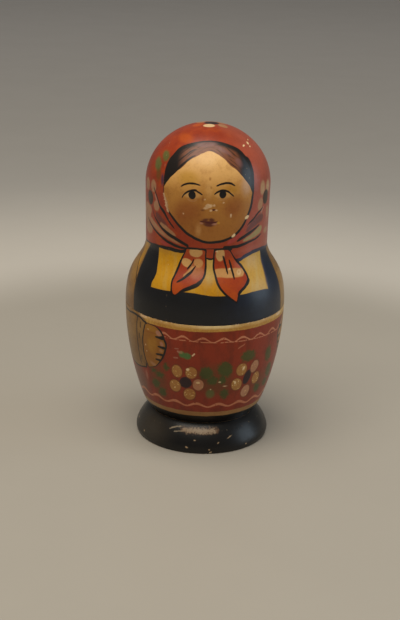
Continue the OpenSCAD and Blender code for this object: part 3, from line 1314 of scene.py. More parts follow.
    TAIL_RIGHT = Patch(
        (
            (3.7, 86.0), (3.5, 81.7), (3.6, 77.6), (4.4, 74.6), (5.6, 71.4), (7.8, 68.5), (10.2, 66.3),
            (12.6, 64.6), (14.8, 63.0), (15.7, 66.6), (17.6, 68.5), (19.9, 70.4), (20.4, 72.3),
            (19.0, 74.9), (17.0, 77.4), (13.9, 80.5), (12.2, 83.0), (10.3, 86.0),
        ),
        (0, 8, 17),
    )
    KNOT = Patch(((-0.2, 86.0), (3.7, 86.0), (3.6, 81.7), (0.0, 81.7)), (0, 1, 2, 3))
    TAIL_TOUCHES = (
        Touch(
            Pigment.SCARF_LIGHT, Dab(-12.8, 69.0, 3.0, 2.6, 40.0), Dab(13.4, 66.0, 2.0, 2.6), soft=1.2,
            share=0.6,
        ),
        Touch(
            Pigment.SCARF_FADED, Dab(-3.8, 75.4, 3.0, 2.8), Dab(15.2, 78.0, 2.4, 1.4, -40.0), soft=1.2,
            share=0.8,
        ),
        Touch(Pigment.CREAM, Dab(-4.2, 76.6, 3.2, 2.6), soft=1.8, share=0.35),
        Touch(
            Pigment.CREAM, Dab(-4.6, 84.4, 3.0, 2.3), Dab(-8.6, 79.4, 2.5, 1.8, -8.0),
            Dab(6.4, 83.4, 2.0, 2.9), soft=0.25,
        ),
        Touch(
            Pigment.CREAM, Dab(-3.4, 79.6, 2.1, 1.9), Sweep((-5.4, 78.2), (-10.2, 73.6), 1.3, 0.3),
            soft=0.35, share=0.75,
        ),
        Touch(
            Pigment.CREAM,
            Stroke((3.6, 75.6), (4.6, 75.7, 3.2), (10.8, 75.4, 3.6), (17.4, 75.1, 2.9), (18.8, 75.0)),
            soft=0.35, share=0.85,
        ),
        Touch(
            Pigment.PETAL_LIGHT, Dab(11.0, 77.0, 0.5, 0.4), Dab(4.7, 85.1, 0.5, 0.4), soft=0.25, share=0.8,
            ragged=0.5,
        ),
        Touch(Pigment.PETAL_LIGHT, Dab(15.6, 75.3, 1.1, 1.1), soft=0.4, share=0.45, ragged=0.8),
        Touch(Pigment.SKIN_SHADE, Dab(15.5, 75.4, 0.4, 0.4), soft=0.4, share=0.5),
    )
    TAIL_FOLDS = (
        Stroke((-5.1, 81.2), (-5.7, 80.3, 0.75), (-6.9, 78.5, 0.8), (-8.2, 77.1, 0.6), (-8.9, 76.4)),
        Stroke(
            (-4.3, 78.6), (-4.9, 77.7, 0.8), (-6.2, 76.0, 1.1), (-8.5, 74.2, 1.1), (-11.1, 72.3, 0.85),
            (-12.9, 71.2, 0.5), (-13.6, 70.9),
        ),
        Stroke((7.5, 83.4), (7.9, 82.2, 0.8), (8.7, 79.6, 0.9), (9.8, 76.0, 0.8), (10.4, 74.2), steep=True),
        Stroke(
            (10.3, 81.6), (10.8, 80.2, 0.75), (11.8, 77.2, 0.9), (13.0, 73.8, 0.75), (13.7, 72.1),
            steep=True,
        ),
        Stroke(
            (-13.4, 66.0), (-10.9, 67.7, 1.0), (-6.6, 69.6, 1.6), (-3.5, 71.0, 1.7), (-1.2, 73.1, 1.1),
            (-0.4, 74.6),
        ),
        Stroke(
            (15.2, 65.0), (16.0, 67.0, 1.4), (18.0, 68.8, 1.9), (20.0, 70.6, 1.7), (20.5, 72.2, 0.9),
            (20.0, 73.4), steep=True,
        ),
        Stroke((-0.4, 81.9), (0.6, 81.7, 0.8), (1.9, 81.5, 0.9), (3.0, 81.7, 0.8), (3.9, 81.9)),
        Dab(10.6, 86.2, 1.5, 0.9, -30.0),
    )

    def clothes(self) -> None:
        """Paints the blouse, the vest with its straps and the sleeves."""
        graph, surface = self.graph, self.surface
        up, (across, _, _) = surface.up, graph.split(self.flat)
        self.lay(self.blend(self.SLEEVE_FADE.over(self.cloud), Pigment.SLEEVE, Pigment.SLEEVE_SHADE), 1.0)
        right_out = graph.curve(up, self.STRAP_RIGHT_OUT) - across
        left_out = across - graph.curve(up, self.STRAP_LEFT_OUT)
        right_in = graph.curve(up, self.STRAP_RIGHT_IN) - across
        left_in = across - graph.curve(up, self.STRAP_LEFT_IN)
        front = left_out & right_out
        window = left_in & right_in & (up - graph.curve(across, self.VEST_TOP))
        back = self.VEST_BACK_HALF - abs(surface.facing(self.BACK))
        drawn = graph.vector("MULTIPLY", self.flat, self.STREAK_RUN)
        streaks = graph.noise(drawn, self.STREAK_SIZE, detail=3.0)
        pale = (self.STREAK_FADE.over(streaks) + self.PALE_FADE.over(across)) & 1.0
        self.lay(self.blend(pale, Pigment.BLOUSE, Pigment.BLOUSE_LIGHT), window.mask())
        line = (front + self.HALF_LINE).mask() * (1.0 - front.mask())
        self.lay(Pigment.LINE, line * self.VEST_LINE_SHARE)
        # Painted sheen: the vest's black turns navy towards the right of the front, where the cool light
        # from the right falls.
        navy = self.NAVY_IN.over(across) * self.NAVY_OUT.over(self.NAVY_END - across)
        self.lay(self.blend(navy, Pigment.VEST, Pigment.NAVY), ((front & -window) | back).mask())
        self.touch(self.CLOTHES_TOUCHES)

    def scarf(self) -> None:
        """Paints the scarf with its folds, flowers and hem."""
        graph, surface = self.graph, self.surface
        across, up, _ = graph.split(self.flat)
        back = surface.facing(self.BACK)
        front = up - graph.curve(across, self.SCARF_HEM)
        point = up - (self.SCARF_POINT + abs(back) * self.POINT_SLOPE)
        cloth = front | point
        brush = graph.noise(self.grain, self.BRUSH_SIZE, detail=3.0, rough=0.55)
        red = self.blend(self.BRUSH_LIGHT.over(brush), Pigment.SCARF, Pigment.SCARF_LIGHT)
        red = self.blend(self.BRUSH_SHADE.over(brush), red, Pigment.SCARF_SHADE)
        # Painted sheen: the scarf turns paler towards the right, where the cool light from the right falls.
        right = graph.math("SINE", surface.turn)
        red = self.blend(self.RIGHT_SHEEN.over(right), red, Pigment.SCARF_FADED)
        self.lay(red, cloth.mask())
        self.touch(self.SCARF_TOUCHES)
        # Painted highlight: the black hem turns violet along the right, where the cool light glances off
        # it.
        violet = self.VIOLET_IN.over(across) * self.VIOLET_OUT.over(across)
        edge = self.blend(violet * self.VIOLET_SHARE, Pigment.LINE, Pigment.VIOLET)
        self.lay(edge, (graph.curve(across, self.HEM_WIDTH) * 0.5 - abs(cloth)).mask())
        self.touch([Touch(Pigment.LINE, *self.FOLDS)])
        plan = graph.vector("ADD", graph.join(surface.x, surface.y), surface.shift)
        red_top, above = self.colour, self.CROWN.over(surface.up)
        self.touch(self.CROWN_TOUCHES, plan)
        self.colour = self.blend(above, red_top, self.colour)

    def face(self) -> None:
        """Paints the face, its features and the hair."""
        graph = self.graph
        across, up, _ = graph.split(self.flat)
        face = self.FACE.inside(graph, self.flat)
        chin = self.CHIN.over(up)
        kept = 1.0 - self.LINE_WORN.over(self.LOWER_WORN.inside(graph, self.flat))
        cheek = self.CHEEK_OUT.over(across) * self.CHEEK_UP.over(up)
        line = face + self.FACE_LINE + chin * self.LINE_SWELL + cheek * self.LINE_SWELL
        self.lay(Pigment.LINE, line.mask() * kept)
        mottle = graph.noise(self.grain, self.MOTTLE_SIZE, detail=4.0, rough=0.6)
        # Partly painted light from above, partly the face's own tone: the skin grows lighter up the
        # forehead and darker towards the chin.
        skin = self.blend(self.BROW.over(up), Pigment.SKIN, Pigment.SKIN_LIGHT)
        skin = self.blend(chin * self.CHIN_SHADE, skin, Pigment.SKIN_SHADE)
        skin = self.blend(self.MOTTLE_FADE.over(mottle), skin, Pigment.SKIN_SHADE)
        inside = (face - chin * self.CHIN_INSET).mask()
        outside = self.colour
        self.lay(skin, 1.0)
        self.touch(self.SKIN_TOUCHES)
        rise = up - graph.curve(across, self.HAIRLINE)
        along, aside = self.LOCK_RUN
        lock = graph.noise(graph.join(rise * along, across * aside), 1.0)
        middle = self.PARTING_FADE.over(self.PARTING_HALF - abs(across - self.PARTING))
        share = self.BROWN_EDGE.over(face) * middle * self.LOCK_FADE.over(lock)
        bare = self.colour
        self.colour = self.blend(share, Pigment.HAIR, Pigment.HAIR_BROWN)
        self.touch(self.HAIR_TOUCHES)
        steel = self.STEEL_OUT.over(across) * self.STEEL_EDGE.over(face)
        self.lay(Pigment.HAIR_STEEL, steel * self.STEEL_SHARE)
        self.colour = self.blend(rise.mask(), bare, self.colour)
        self.touch(self.FEATURES)
        self.colour = self.blend(inside, outside, self.colour)

    def tails(self) -> None:
        """Paints the knot and the two tails of the scarf."""
        graph = self.graph
        left, right = self.TAIL_LEFT.inside(graph, self.flat), self.TAIL_RIGHT.inside(graph, self.flat)
        knot = self.KNOT.inside(graph, self.flat)
        cloth = (left | right | knot).mask()
        under = self.colour
        self.lay(self.blend(self.TAIL_FADE.over(self.cloud), Pigment.SCARF, Pigment.SCARF_LIGHT), 1.0)
        self.touch(self.TAIL_TOUCHES)
        self.colour = self.blend(cloth, under, self.colour)
        self.lay(Pigment.LINE, (self.HALF_LINE - (abs(left) & abs(right))).mask())
        self.touch([Touch(Pigment.LINE, *self.TAIL_FOLDS)])

    def paint(self) -> bpy.types.Material:
        """Paints the half from the clothes up and ages it.

        Returns:
            The finished material.
        """
        self.clothes()
        self.scarf()
        self.face()
        self.tails()
        self.touch(self.FLAKES)
        return self.age()


class SkirtPainter(Painter):
    """Paint of a lower half: skirt with an apron border, flowers, sleeves and hands."""

    EDGE = Fade(OUTLINE.belly[1] - 0.6, OUTLINE.belly[1] - 0.1)
    STROKE_RUN = (1.0, 1.0, 0.3)
    STROKE_SIZE = 4.0
    STROKE_FADE = Fade(0.42, 0.7, 0.6)
    BAND_TOP = 50.1
    BAND_LOW = (5.0, 7.5)
    BAND_END = 29.4
    BAND_SLANT = 0.8
    BAND_FLECK = Fade(0.5, 0.66, 0.4)
    LIT_UP = Fade(51.0, 52.4)
    LIT_MIDDLE = 6.0
    LIT_HALF = 14.0
    LIT_FADE = Fade(0.0, 10.0, 0.65)
    LIT_LEAST = 0.35
    WRIST = -30.0
    SLEEVE_LINE = 0.8
    SLEEVE_FADE = Fade(0.4, 0.6, 0.5)
    CUFF_FADE = Fade(44.0, 28.0, 0.45)
    HAND_LINE = 0.4
    KNUCKLE_LINE = Fade(-24.0, -20.0, 0.25)
    KNUCKLE_INSET = Fade(-24.0, -20.0, 0.35)
    UNDERLINE = (45.1, 0.24)
    UNDERLINE_WORN = Fade(0.44, 0.52)
    HAND_FOLD = 13.2
    GARDEN = (-80.0, 100.0)
    WAVE_DIP = 0.8
    WAVE_SWELL = 0.14
    WAVE_WORN = Fade(0.3, 0.42)
    WAVES = (Wave(46.1, 0.95, 25, 0.2, 0.38), Wave(11.5, 0.85, 19, 1.5, 0.6))
    FLOWERS = (
        Flower(
            Dab(-7.9, 23.7, 2.9, 3.0),
            (
                (Pigment.PETAL, Dab(-12.1, 29.2, 2.5, 3.2, 10.0)),
                (Pigment.PETAL, Dab(-5.3, 29.1, 2.7, 3.0, -10.0)),
                (Pigment.PETAL, Dab(-12.9, 21.2, 2.7, 3.2, 10.0)),
                (Pigment.PETAL_PINK, Dab(-2.0, 22.9, 2.5, 3.0)), (Pigment.PETAL, Dab(-5.9, 17.5, 2.8, 3.1)),
            ),
        ),
        Flower(
            Dab(21.7, 25.0, 2.0, 4.0, -20.0),
            (
                (Pigment.PETAL, Dab(18.6, 29.7, 2.7, 3.2, -15.0)),
                (Pigment.PETAL_PINK, Dab(25.9, 29.9, 2.2, 3.3, -25.0)),
                (Pigment.PETAL, Dab(27.2, 23.2, 2.3, 3.2, -18.0)),
                (Pigment.PETAL, Dab(16.2, 22.1, 2.7, 3.2)),
                (Pigment.PETAL_PINK, Dab(21.2, 17.3, 2.3, 3.3, -22.0)),
            ),
        ),
    )
    LEAF_TOUCHES = (
        Touch(
            Pigment.LEAF_BROWN, Dab(6.0, 25.5, 8.0, 8.0), Dab(-21.5, 22.0, 4.5, 8.0, 15.0),
            Dab(30.0, 20.0, 4.0, 5.0), soft=3.0, share=0.6,
        ),
        Touch(
            Pigment.LEAF, Dab(-17.5, 30.2, 1.5, 1.9), Dab(-21.0, 25.2, 2.3, 1.5),
            Dab(-23.4, 19.7, 2.3, 2.6), Dab(-19.5, 15.7, 2.2, 2.4), Dab(-24.8, 26.4, 1.6, 1.2),
            Dab(1.6, 29.2, 3.2, 3.2), Dab(4.4, 25.4, 2.6, 2.2), Dab(10.3, 30.9, 3.4, 4.2, 18.0),
            Dab(9.0, 25.4, 1.8, 2.2), Dab(10.1, 17.7, 2.1, 2.5), Dab(21.8, 36.4, 4.0, 2.9),
            Dab(28.6, 17.0, 2.0, 2.4), Dab(35.6, 34.0, 2.3, 3.8), Dab(37.9, 24.0, 3.0, 4.0),
            Dab(35.6, 17.8, 2.4, 2.4), soft=0.8, share=0.85, ragged=3.6,
        ),
        Touch(Pigment.LEAF_BRIGHT, Dab(3.5, 18.0, 2.0, 2.4), soft=0.8, share=0.6),
        Touch(
            Pigment.ROSE, Sweep((-14.0, 36.1), (-11.6, 36.1), 0.6),
            Sweep((-13.4, 40.7), (-11.4, 40.9), 0.5), Sweep((-12.2, 39.8), (-10.6, 38.6), 0.9), soft=0.3,
            share=0.7,
        ),
        Touch(
            Pigment.LEAF_BRIGHT, Dab(-9.8, 38.2, 1.5, 1.6), Dab(-7.6, 37.7, 2.0, 1.6, -10.0), soft=0.5,
            share=0.95, ragged=0.8,
        ),
        Touch(Pigment.STRAW, Dab(-10.4, 39.2, 0.9, 0.7), soft=0.4, share=0.6, ragged=0.8),
        Touch(
            Pigment.CHIP, Sweep((-5.2, 37.9), (-3.8, 39.3), 0.7), Dab(7.9, 24.4, 0.6, 0.35),
            Dab(10.4, 22.0, 0.8, 0.25), Dab(3.7, 20.5, 0.3, 0.3), soft=0.2, share=0.9, ragged=0.4,
        ),
        Touch(
            Pigment.TRIM,
            Stroke((15.6, 40.8), (16.6, 41.5, 0.5), (19.0, 42.6, 0.5), (19.9, 43.4)),
            soft=0.3, share=0.7,
        ),
    )
    PETAL_SPOTS = (
        Touch(
            Pigment.PETAL_LIGHT, Dab(-7.0, 30.7, 0.75, 0.7), Dab(-2.2, 24.0, 1.0, 0.5),
            Dab(19.6, 30.2, 0.5, 1.1, -25.0), Dab(15.4, 23.2, 0.5, 0.8), soft=0.2, share=0.95, ragged=0.6,
        ),
    )
    HAND = Patch(
        (
            (-30.0, 49.2), (-26.7, 49.6), (-23.8, 49.3), (-21.4, 48.1), (-19.8, 46.4), (-18.9, 44.1),
            (-17.9, 41.9), (-18.2, 39.0), (-19.4, 35.5), (-20.9, 32.5), (-23.4, 29.5), (-26.5, 28.0),
            (-28.5, 27.8), (-31.0, 32.0), (-32.0, 39.0), (-31.4, 45.0),
        ),
    )
    HAND_TOUCHES = (
        Touch(
            Pigment.SKIN_GOLD, Dab(-26.6, 47.8, 3.0, 1.1, 4.0), Dab(-25.5, 40.0, 3.0, 4.0), soft=1.2,
            share=0.35, ragged=1.0,
        ),
        Touch(
            Pigment.ROSE, Dab(-21.8, 46.4, 1.6, 1.2, -35.0), Dab(-20.0, 41.5, 0.9, 1.4, 15.0), soft=0.4,
            share=0.85,
        ),
        Touch(
            Pigment.STRAW, Dab(-20.4, 38.1, 1.0, 0.8), Dab(-21.8, 34.4, 0.9, 0.6),
            Dab(-24.6, 29.8, 2.2, 0.8, -20.0), soft=0.4, share=0.7,
        ),
        Touch(Pigment.SKIN_SHADE, Sweep((-30.6, 45.7), (-23.4, 46.0), 0.5), soft=0.3, share=0.9),
        Touch(
            Pigment.CHIP, Dab(-29.8, 38.7, 0.35, 0.45), Dab(-29.1, 35.6, 0.3, 0.35),
            Dab(-28.0, 47.0, 0.5, 0.25), soft=0.2, share=0.8, ragged=0.6,
        ),
        Touch(
            Pigment.LINE,
            Stroke(
                (-24.4, 44.4), (-23.2, 44.4, 0.8), (-21.5, 44.4, 1.3), (-19.6, 44.6, 2.0), (-18.4, 44.6),
            ),
            Stroke(
                (-22.8, 39.9), (-21.8, 39.9, 0.8), (-20.4, 39.8, 1.1), (-18.8, 39.7, 1.4), (-18.0, 39.7),
            ),
            Stroke(
                (-23.9, 35.7), (-22.8, 35.8, 0.8), (-21.0, 36.0, 1.1), (-19.8, 36.0, 1.3), (-18.8, 36.1),
            ),
            Stroke(
                (-24.2, 32.8), (-23.2, 32.9, 0.8), (-22.0, 32.9, 1.1), (-20.8, 32.9, 1.3), (-20.2, 32.9),
            ),
        ),
    )
    CUFF_LINES = (
        Stroke(
            (-36.0, 52.6), (-36.0, 51.0, 0.6), (-36.6, 46.9, 0.6), (-36.5, 41.6, 0.6), (-36.0, 36.9, 0.6),
            (-35.2, 32.6, 0.6), (-34.0, 28.6, 0.6), (-32.4, 26.4), steep=True,
        ),
        Stroke(
            (-29.6, 50.0), (-30.2, 48.8, 0.7), (-31.2, 45.1, 0.7), (-31.8, 40.2, 0.7), (-31.4, 35.6, 0.7),
            (-30.5, 32.1, 0.7), (-28.9, 28.9, 0.7), (-28.0, 27.6), steep=True,
        ),
        Sweep((-33.6, 49.2), (-33.6, 46.0), 0.6), Sweep((-34.5, 43.4), (-34.6, 40.4), 0.5),
        Sweep((-35.8, 37.0), (-35.6, 34.0), 0.45), Sweep((-33.0, 32.2), (-33.2, 29.6), 0.5),
        Stroke(
            (-60.0, 50.0, 0.8), (-46.5, 50.6, 0.8), (-36.5, 51.5, 1.0), (-31.5, 50.3, 1.0),
            (-29.5, 49.6, 0.9), (-28.4, 49.2),
        ),
    )
    SLEEVE_HEM = (
        (-75.0, 33.0), (-60.0, 30.5), (-50.0, 27.2), (-41.7, 25.8), (-38.0, 25.4), (-31.7, 26.6),
        (-26.0, 28.0),
    )
    BACK_HALF = 36.0
    # Painted reflection: a pale brownish wash and a pink streak low on the left flank, where light glances
    # off the skirt.
    SIDE_TOUCHES = (
        Touch(Pigment.SKIRT_SIDE, Dab(-36.0, 17.5, 6.5, 8.5, 20.0), soft=2.5, share=0.75),
        Touch(Pigment.ROSE, Dab(-29.6, 22.4, 0.8, 2.4, 10.0), soft=0.5, share=0.5, ragged=0.6),
    )
    SEAM_TOUCHES = (
        Touch(
            Pigment.CHIP, Dab(-31.5, 52.6, 2.6, 0.9), Dab(43.0, 52.2, 2.4, 0.9), soft=0.3, share=0.9,
            ragged=1.4,
        ),
    )

    def cloth(self) -> None:
        """Paints the red of the skirt and its wavy borders."""
        graph, surface = self.graph, self.surface
        along = graph.vector("MULTIPLY", self.grain, self.STROKE_RUN)
        strokes = graph.noise(along, self.STROKE_SIZE, detail=3.0, rough=0.6)
        self.lay(self.blend(self.STROKE_FADE.over(strokes), Pigment.SKIRT, Pigment.SKIRT_SHADE), 1.0)
        # Painted reflection low on the left flank.
        self.touch(self.SIDE_TOUCHES)
        _, up, _ = graph.split(self.flat)
        dip = graph.math("SINE", surface.turn) * self.WAVE_DIP
        for wave in self.WAVES:
            beat = graph.math("COSINE", surface.turn * wave.count + wave.lead)
            way = up + dip - wave.level
            line = (wave.half + beat * self.WAVE_SWELL - abs(way - beat * wave.height)).mask()
            self.lay(Pigment.TRIM, line * self.WAVE_WORN.over(self.fine))
        level, half = self.UNDERLINE
        under = (half - abs(up + dip - level)).mask() * self.UNDERLINE_WORN.over(self.fine)
        self.lay(Pigment.TRIM, under)

    def garden(self) -> None:
        """Paints the flowers and leaves, which come again on the back."""
        flat = self.surface.shaky(self.surface.repeated(*self.GARDEN), self.surface.up)
        self.touch(self.LEAF_TOUCHES, flat)
        for flower in self.FLOWERS:
            self.bloom(flower, flat)
        self.touch(self.PETAL_SPOTS, flat)

    def arms(self) -> None:
        """Paints the hands, cuffs and sleeves on both sides."""
        graph, surface = self.graph, self.surface
        folded = self.HAND_FOLD - abs(surface.across - self.HAND_FOLD)
        flat = surface.shaky(folded, surface.up)
        across, up, _ = graph.split(flat)
        behind = abs(surface.facing(self.BACK)) - self.BACK_HALF
        arm = (self.WRIST - across) & behind & (up - graph.curve(across, self.SLEEVE_HEM))
        hand = self.HAND.inside(graph, flat)
        self.lay(Pigment.LINE, (arm + self.SLEEVE_LINE).mask())
        self.lay(Pigment.LINE, (hand + self.HAND_LINE + self.KNUCKLE_LINE.over(across)).mask())
        before = self.colour
        self.lay(Pigment.HAND, 1.0)
        self.touch(self.HAND_TOUCHES, flat)
        skin = (hand - self.KNUCKLE_INSET.over(across)).mask()
        self.colour = self.blend(skin, before, self.colour)
        tone = self.blend(self.SLEEVE_FADE.over(self.cloud), Pigment.SLEEVE, Pigment.SLEEVE_SHADE)
        tone = self.blend(self.CUFF_FADE.over(up), tone, Pigment.SLEEVE_SHADE)
        cuff = arm & -hand
        self.lay(tone, cuff.mask())
        plain = self.colour
        self.touch([Touch(Pigment.LINE, *self.CUFF_LINES)], flat)
        self.colour = self.blend(((arm | hand) + self.SLEEVE_LINE).mask(), plain, self.colour)

    def bands(self) -> None:
        """Paints the bands at the waist and the hem and the dark foot."""
        graph = self.graph
        across, up, _ = graph.split(self.flat)
        low, high = self.BAND_LOW
        folded = self.HAND_FOLD - abs(across - self.HAND_FOLD)
        front = folded + self.BAND_END + (up - self.BAND_TOP) * self.BAND_SLANT
        back = self.BACK_HALF - self.SLEEVE_LINE - abs(self.surface.facing(self.BACK))
        waist = (up - self.BAND_TOP) & (front | back)
        rise = self.LIT_UP.over(up)
        lit = rise * (self.LIT_LEAST + self.LIT_FADE.over(self.LIT_HALF - abs(across - self.LIT_MIDDLE)))
        tone = self.blend(self.BAND_FLECK.over(self.fleck), Pigment.BAND, Pigment.GOLD)
        self.lay(self.blend(lit, tone, Pigment.BAND_LIGHT), waist.mask())
        self.lay(Pigment.BAND_LOW, (high - up).mask())
        self.lay(Pigment.FOOT, (low - up).mask())

    def paint(self) -> bpy.types.Material:
        """Paints the half and ages it.

        Returns:
            The finished material.
        """
        self.cloth()
        self.garden()
        self.arms()
        self.bands()
        self.touch(self.SEAM_TOUCHES)
        return self.age()


class StandPainter(Painter):
    """Black paint of the stand, worn through to the wood at the front."""

    EDGE = Fade(1.9, 1.2)
    EDGE_WORN = Fade(0.52, 0.64)
    TOUCHES = (
        # Painted sheen: a faint pale wash over the left of the stand's sloping top.
        Touch(Pigment.WOOD, Dab(-28.0, 8.5, 10.0, 6.0), soft=5.0, share=0.06),
        Touch(
            Pigment.STRAW,
            Stroke((-10.6, 10.2), (-8.6, 10.2, 1.6), (0.0, 10.2, 2.3), (7.0, 10.2, 1.9), (8.8, 10.2)),
            soft=0.9, share=0.38, ragged=3.0,
        ),
        Touch(
            Pigment.WOOD,
            Stroke(
                (-9.2, 10.1), (-8.0, 10.1, 1.2), (-4.0, 10.2, 1.6), (4.0, 10.2, 1.6), (6.4, 10.1, 1.2),
                (7.6, 10.1),
            ),
            soft=0.6, share=0.42, ragged=5.0,
        ),
        Touch(
            Pigment.WOOD, Sweep((-16.0, 9.3), (-9.4, 11.3), 0.5, 0.3),
            Sweep((-13.6, 8.8), (-8.6, 9.6), 0.3), soft=0.2, share=0.5, ragged=0.8,
        ),
        Touch(
            Pigment.CHIP, Dab(-32.9, 4.0, 0.4, 0.35), Dab(-6.8, 3.1, 0.7, 0.35, -15.0),
            Dab(3.9, 2.3, 0.4, 0.4), Dab(-3.0, 6.4, 0.4, 0.2), Dab(13.6, 7.2, 0.9, 0.2, 20.0),
            Dab(8.1, 5.3, 0.5, 0.2, 30.0), Dab(23.2, 2.4, 0.4, 0.25), Dab(-44.0, 6.0, 0.5, 0.3),
            Dab(62.0, 4.0, 0.7, 0.3), Dab(-75.0, 3.0, 0.6, 0.4), soft=0.2, share=0.55, ragged=0.5,
        ),
    )

    def paint(self) -> bpy.types.Material:
        """Paints the stand, with a painted sheen on its left, and wears it.

        Returns:
            The finished material.
        """
        self.lay(Pigment.FOOT, 1.0)
        self.touch(self.TOUCHES)
        return self.age()


class WoodFinish(Enum):
    """Kinds of bare wood inside a doll."""

    FRESH = (0.66, 0.47, 0.27)
    AGED = (0.52, 0.33, 0.17)


@dataclass(frozen=True)
class BareWood:
    """Bare turned linden: straight grain along the axis, and rings left by the gouge."""

    tone: WoodFinish = WoodFinish.FRESH
    ring_gap: float = 0.0007
    ring_depth: float = 0.00004
    ring_lean: float = 0.4
    fibre_size: float = 0.0012
    fibre_run: float = 0.06
    cloud_size: float = 0.015
    dark_share: float = 0.72
    dark_fade: Fade = Fade(0.35, 0.7)
    stain: Colour = (0.55, 0.42, 0.28)
    stain_fade: Fade = Fade(0.4, 0.7, 0.5)
    rough: float = 0.55
    fibre_rough: float = 0.2
    ring_relief: float = 0.5
    fibre_relief: float = 0.6

    def material(self, name: str) -> bpy.types.Material:
        """Makes the finish.

        Args:
            name: Name of the material.

        Returns:
            The material.
        """
        graph = Graph(name)
        place = graph.node("ShaderNodeTexCoord").outputs["Object"]
        x, y, z = graph.split(place)
        along = graph.vector("MULTIPLY", place, (1.0, 1.0, self.fibre_run))
        fibre = graph.noise(along, self.fibre_size, detail=4.0, rough=0.65)
        cloud = graph.noise(place, self.cloud_size, detail=3.0)
        radius = graph.math("SQRT", x * x + y * y)
        rings = graph.math("SINE", (z + radius * self.ring_lean) * (TAU / self.ring_gap))
        pale = self.tone.value
        dark = tuple(self.dark_share * c for c in pale)
        colour = graph.mix(self.dark_fade.over(fibre), pale, dark)
        colour = graph.mix(self.stain_fade.over(cloud), colour, self.stain, "MULTIPLY")
        rough = self.rough + fibre * self.fibre_rough
        relief = rings * self.ring_relief + fibre * self.fibre_relief
        return graph.surface(colour, rough, relief, self.ring_depth)


@dataclass(frozen=True)
class Stretch:
    """Part of a turned profile that has one finish.

    Attributes:
        points: Radius and height of its points, in metres.
        finish: Number of its material on the piece.
    """

    points: list[Point]
    finish: int


@dataclass(frozen=True)
class RoundedEdge:
    """Turned edge that is rounded over.

    Attributes:
        at: Radius and height of the edge, in metres.
        width: How far the rounding reaches.
        segments: Number of steps in it.
    """

    at: Point
    width: float
    segments: int = 3


@dataclass(frozen=True)
class Lathe:
    """Turns closed profiles about the Z axis."""

    around: int = 144
    merge: float = 1e-6
    near: float = 2e-5
    crisp: float = 35.0

    def turn(
        self,
        name: str,
        stretches: Sequence[Stretch],
        edges: Sequence[RoundedEdge],
        finishes: Sequence[bpy.types.Material],
    ) -> bpy.types.Object:
        """Turns a piece.

        Args:
            name: Name of the piece.
            stretches: Profile, which the stretches close from the axis to the axis.
            edges: Edges to round over.
            finishes: Materials, by number.

        Returns:
            The piece, at the origin.
        """
        bm = bmesh.new()
        for stretch in stretches:
            known = set(bm.faces)
            verts = [bm.verts.new((radius, 0.0, height)) for radius, height in stretch.points]
            line = [bm.edges.new(pair) for pair in zip(verts, verts[1:])]
            bmesh.ops.spin(
                bm, geom=verts + line, cent=(0, 0, 0), axis=(0, 0, 1), dvec=(0, 0, 0), angle=TAU,
                space=Matrix.Identity(4), steps=self.around, use_merge=True, use_normal_flip=False,
                use_duplicate=False,
            )
            for face in set(bm.faces) - known:
                face.material_index = stretch.finish
        bmesh.ops.remove_doubles(bm, verts=bm.verts, dist=self.merge)
        bmesh.ops.recalc_face_normals(bm, faces=bm.faces)
        for edge in edges:
            self.round_over(bm, edge)
        for face in bm.faces:
            face.smooth = True
        mesh = bpy.data.meshes.new(name)
        bm.to_mesh(mesh)
        bm.free()
        for finish in finishes:
            mesh.materials.append(finish)
        mesh.set_sharp_from_angle(angle=math.radians(self.crisp))
        piece = bpy.data.objects.new(name, mesh)
        bpy.context.scene.collection.objects.link(piece)
        return piece

    def round_over(self, bm: bmesh.types.BMesh, edge: RoundedEdge) -> None:
        """Rounds one turned edge over.

        Args:
            bm: Turned piece.
            edge: Edge to round.
        """
        radius, height = edge.at

        def on_edge(vert: bmesh.types.BMVert) -> bool:
            """Whether a vertex lies on the edge."""
            return max(abs(vert.co.z - height), abs(vert.co.xy.length - radius)) < self.near

        ring = [e for e in bm.edges if on_edge(e.verts[0]) and on_edge(e.verts[1])]
        bmesh.ops.bevel(
            bm, geom=ring, offset=edge.width, offset_type="OFFSET", segments=edge.segments, profile=0.5,
            affect="EDGES", clamp_overlap=True, material=-1,
        )


@dataclass(frozen=True)
class Walls:
    """Wood round the hollow of a doll, in millimetres."""

    socket: float
    spigot: float
    spigot_len: float
    head: float
    floor: float
    play: float = 0.12
    end_play: float = 0.4
    nest_gap: float = 0.5
    seat_gap: float = 0.02
    bevel: float = 0.4

    def lower(self) -> float:
        """Wall of a lower half: socket, play and spigot together."""
        return self.socket + self.play + self.spigot

    def graded(self, other: "Walls", share: float) -> "Walls":
        """Walls between these and another doll's.

        Args:
            other: Walls at the far end.
            share: Share of the way there.

        Returns:
            The walls in between.
        """
        names = ("socket", "spigot", "spigot_len", "head", "floor")
        return Walls(*(between(getattr(self, n), getattr(other, n), share) for n in names))


LARGEST_WALLS = Walls(3.0, 2.2, 8.0, 3.2, 7.0)
SMALLEST_WALLS = Walls(1.5, 1.2, 3.5, 1.7, 3.0)
HOLLOW_DOLLS = 6
MORTISE = (9.1, 4.3)


def stretched(points: Sequence[Point], scale: float) -> list[Point]:
    """Points of a profile at a scale."""
    return [(scale * r, scale * z) for r, z in points]


def radius_at(points: Sequence[Point], height: float) -> float:
    """Radius of a rising profile at a height.

    Args:
        points: Profile, from its lowest point to its highest.
        height: Height to read it at.

    Returns:
        The radius there.
    """
    for (ra, za), (rb, zb) in zip(points, points[1:]):
        if za <= height <= zb:
            return between(ra, rb, (height - za) / (zb - za))
    return points[-1][0] if height > points[-1][1] else points[0][0]


class Half(Enum):
    """Halves of a doll, with what the paint on each is named for."""

    LOWER = "skirt"
    UPPER = "scarf"


Tints = dict[Pigment, Colour]


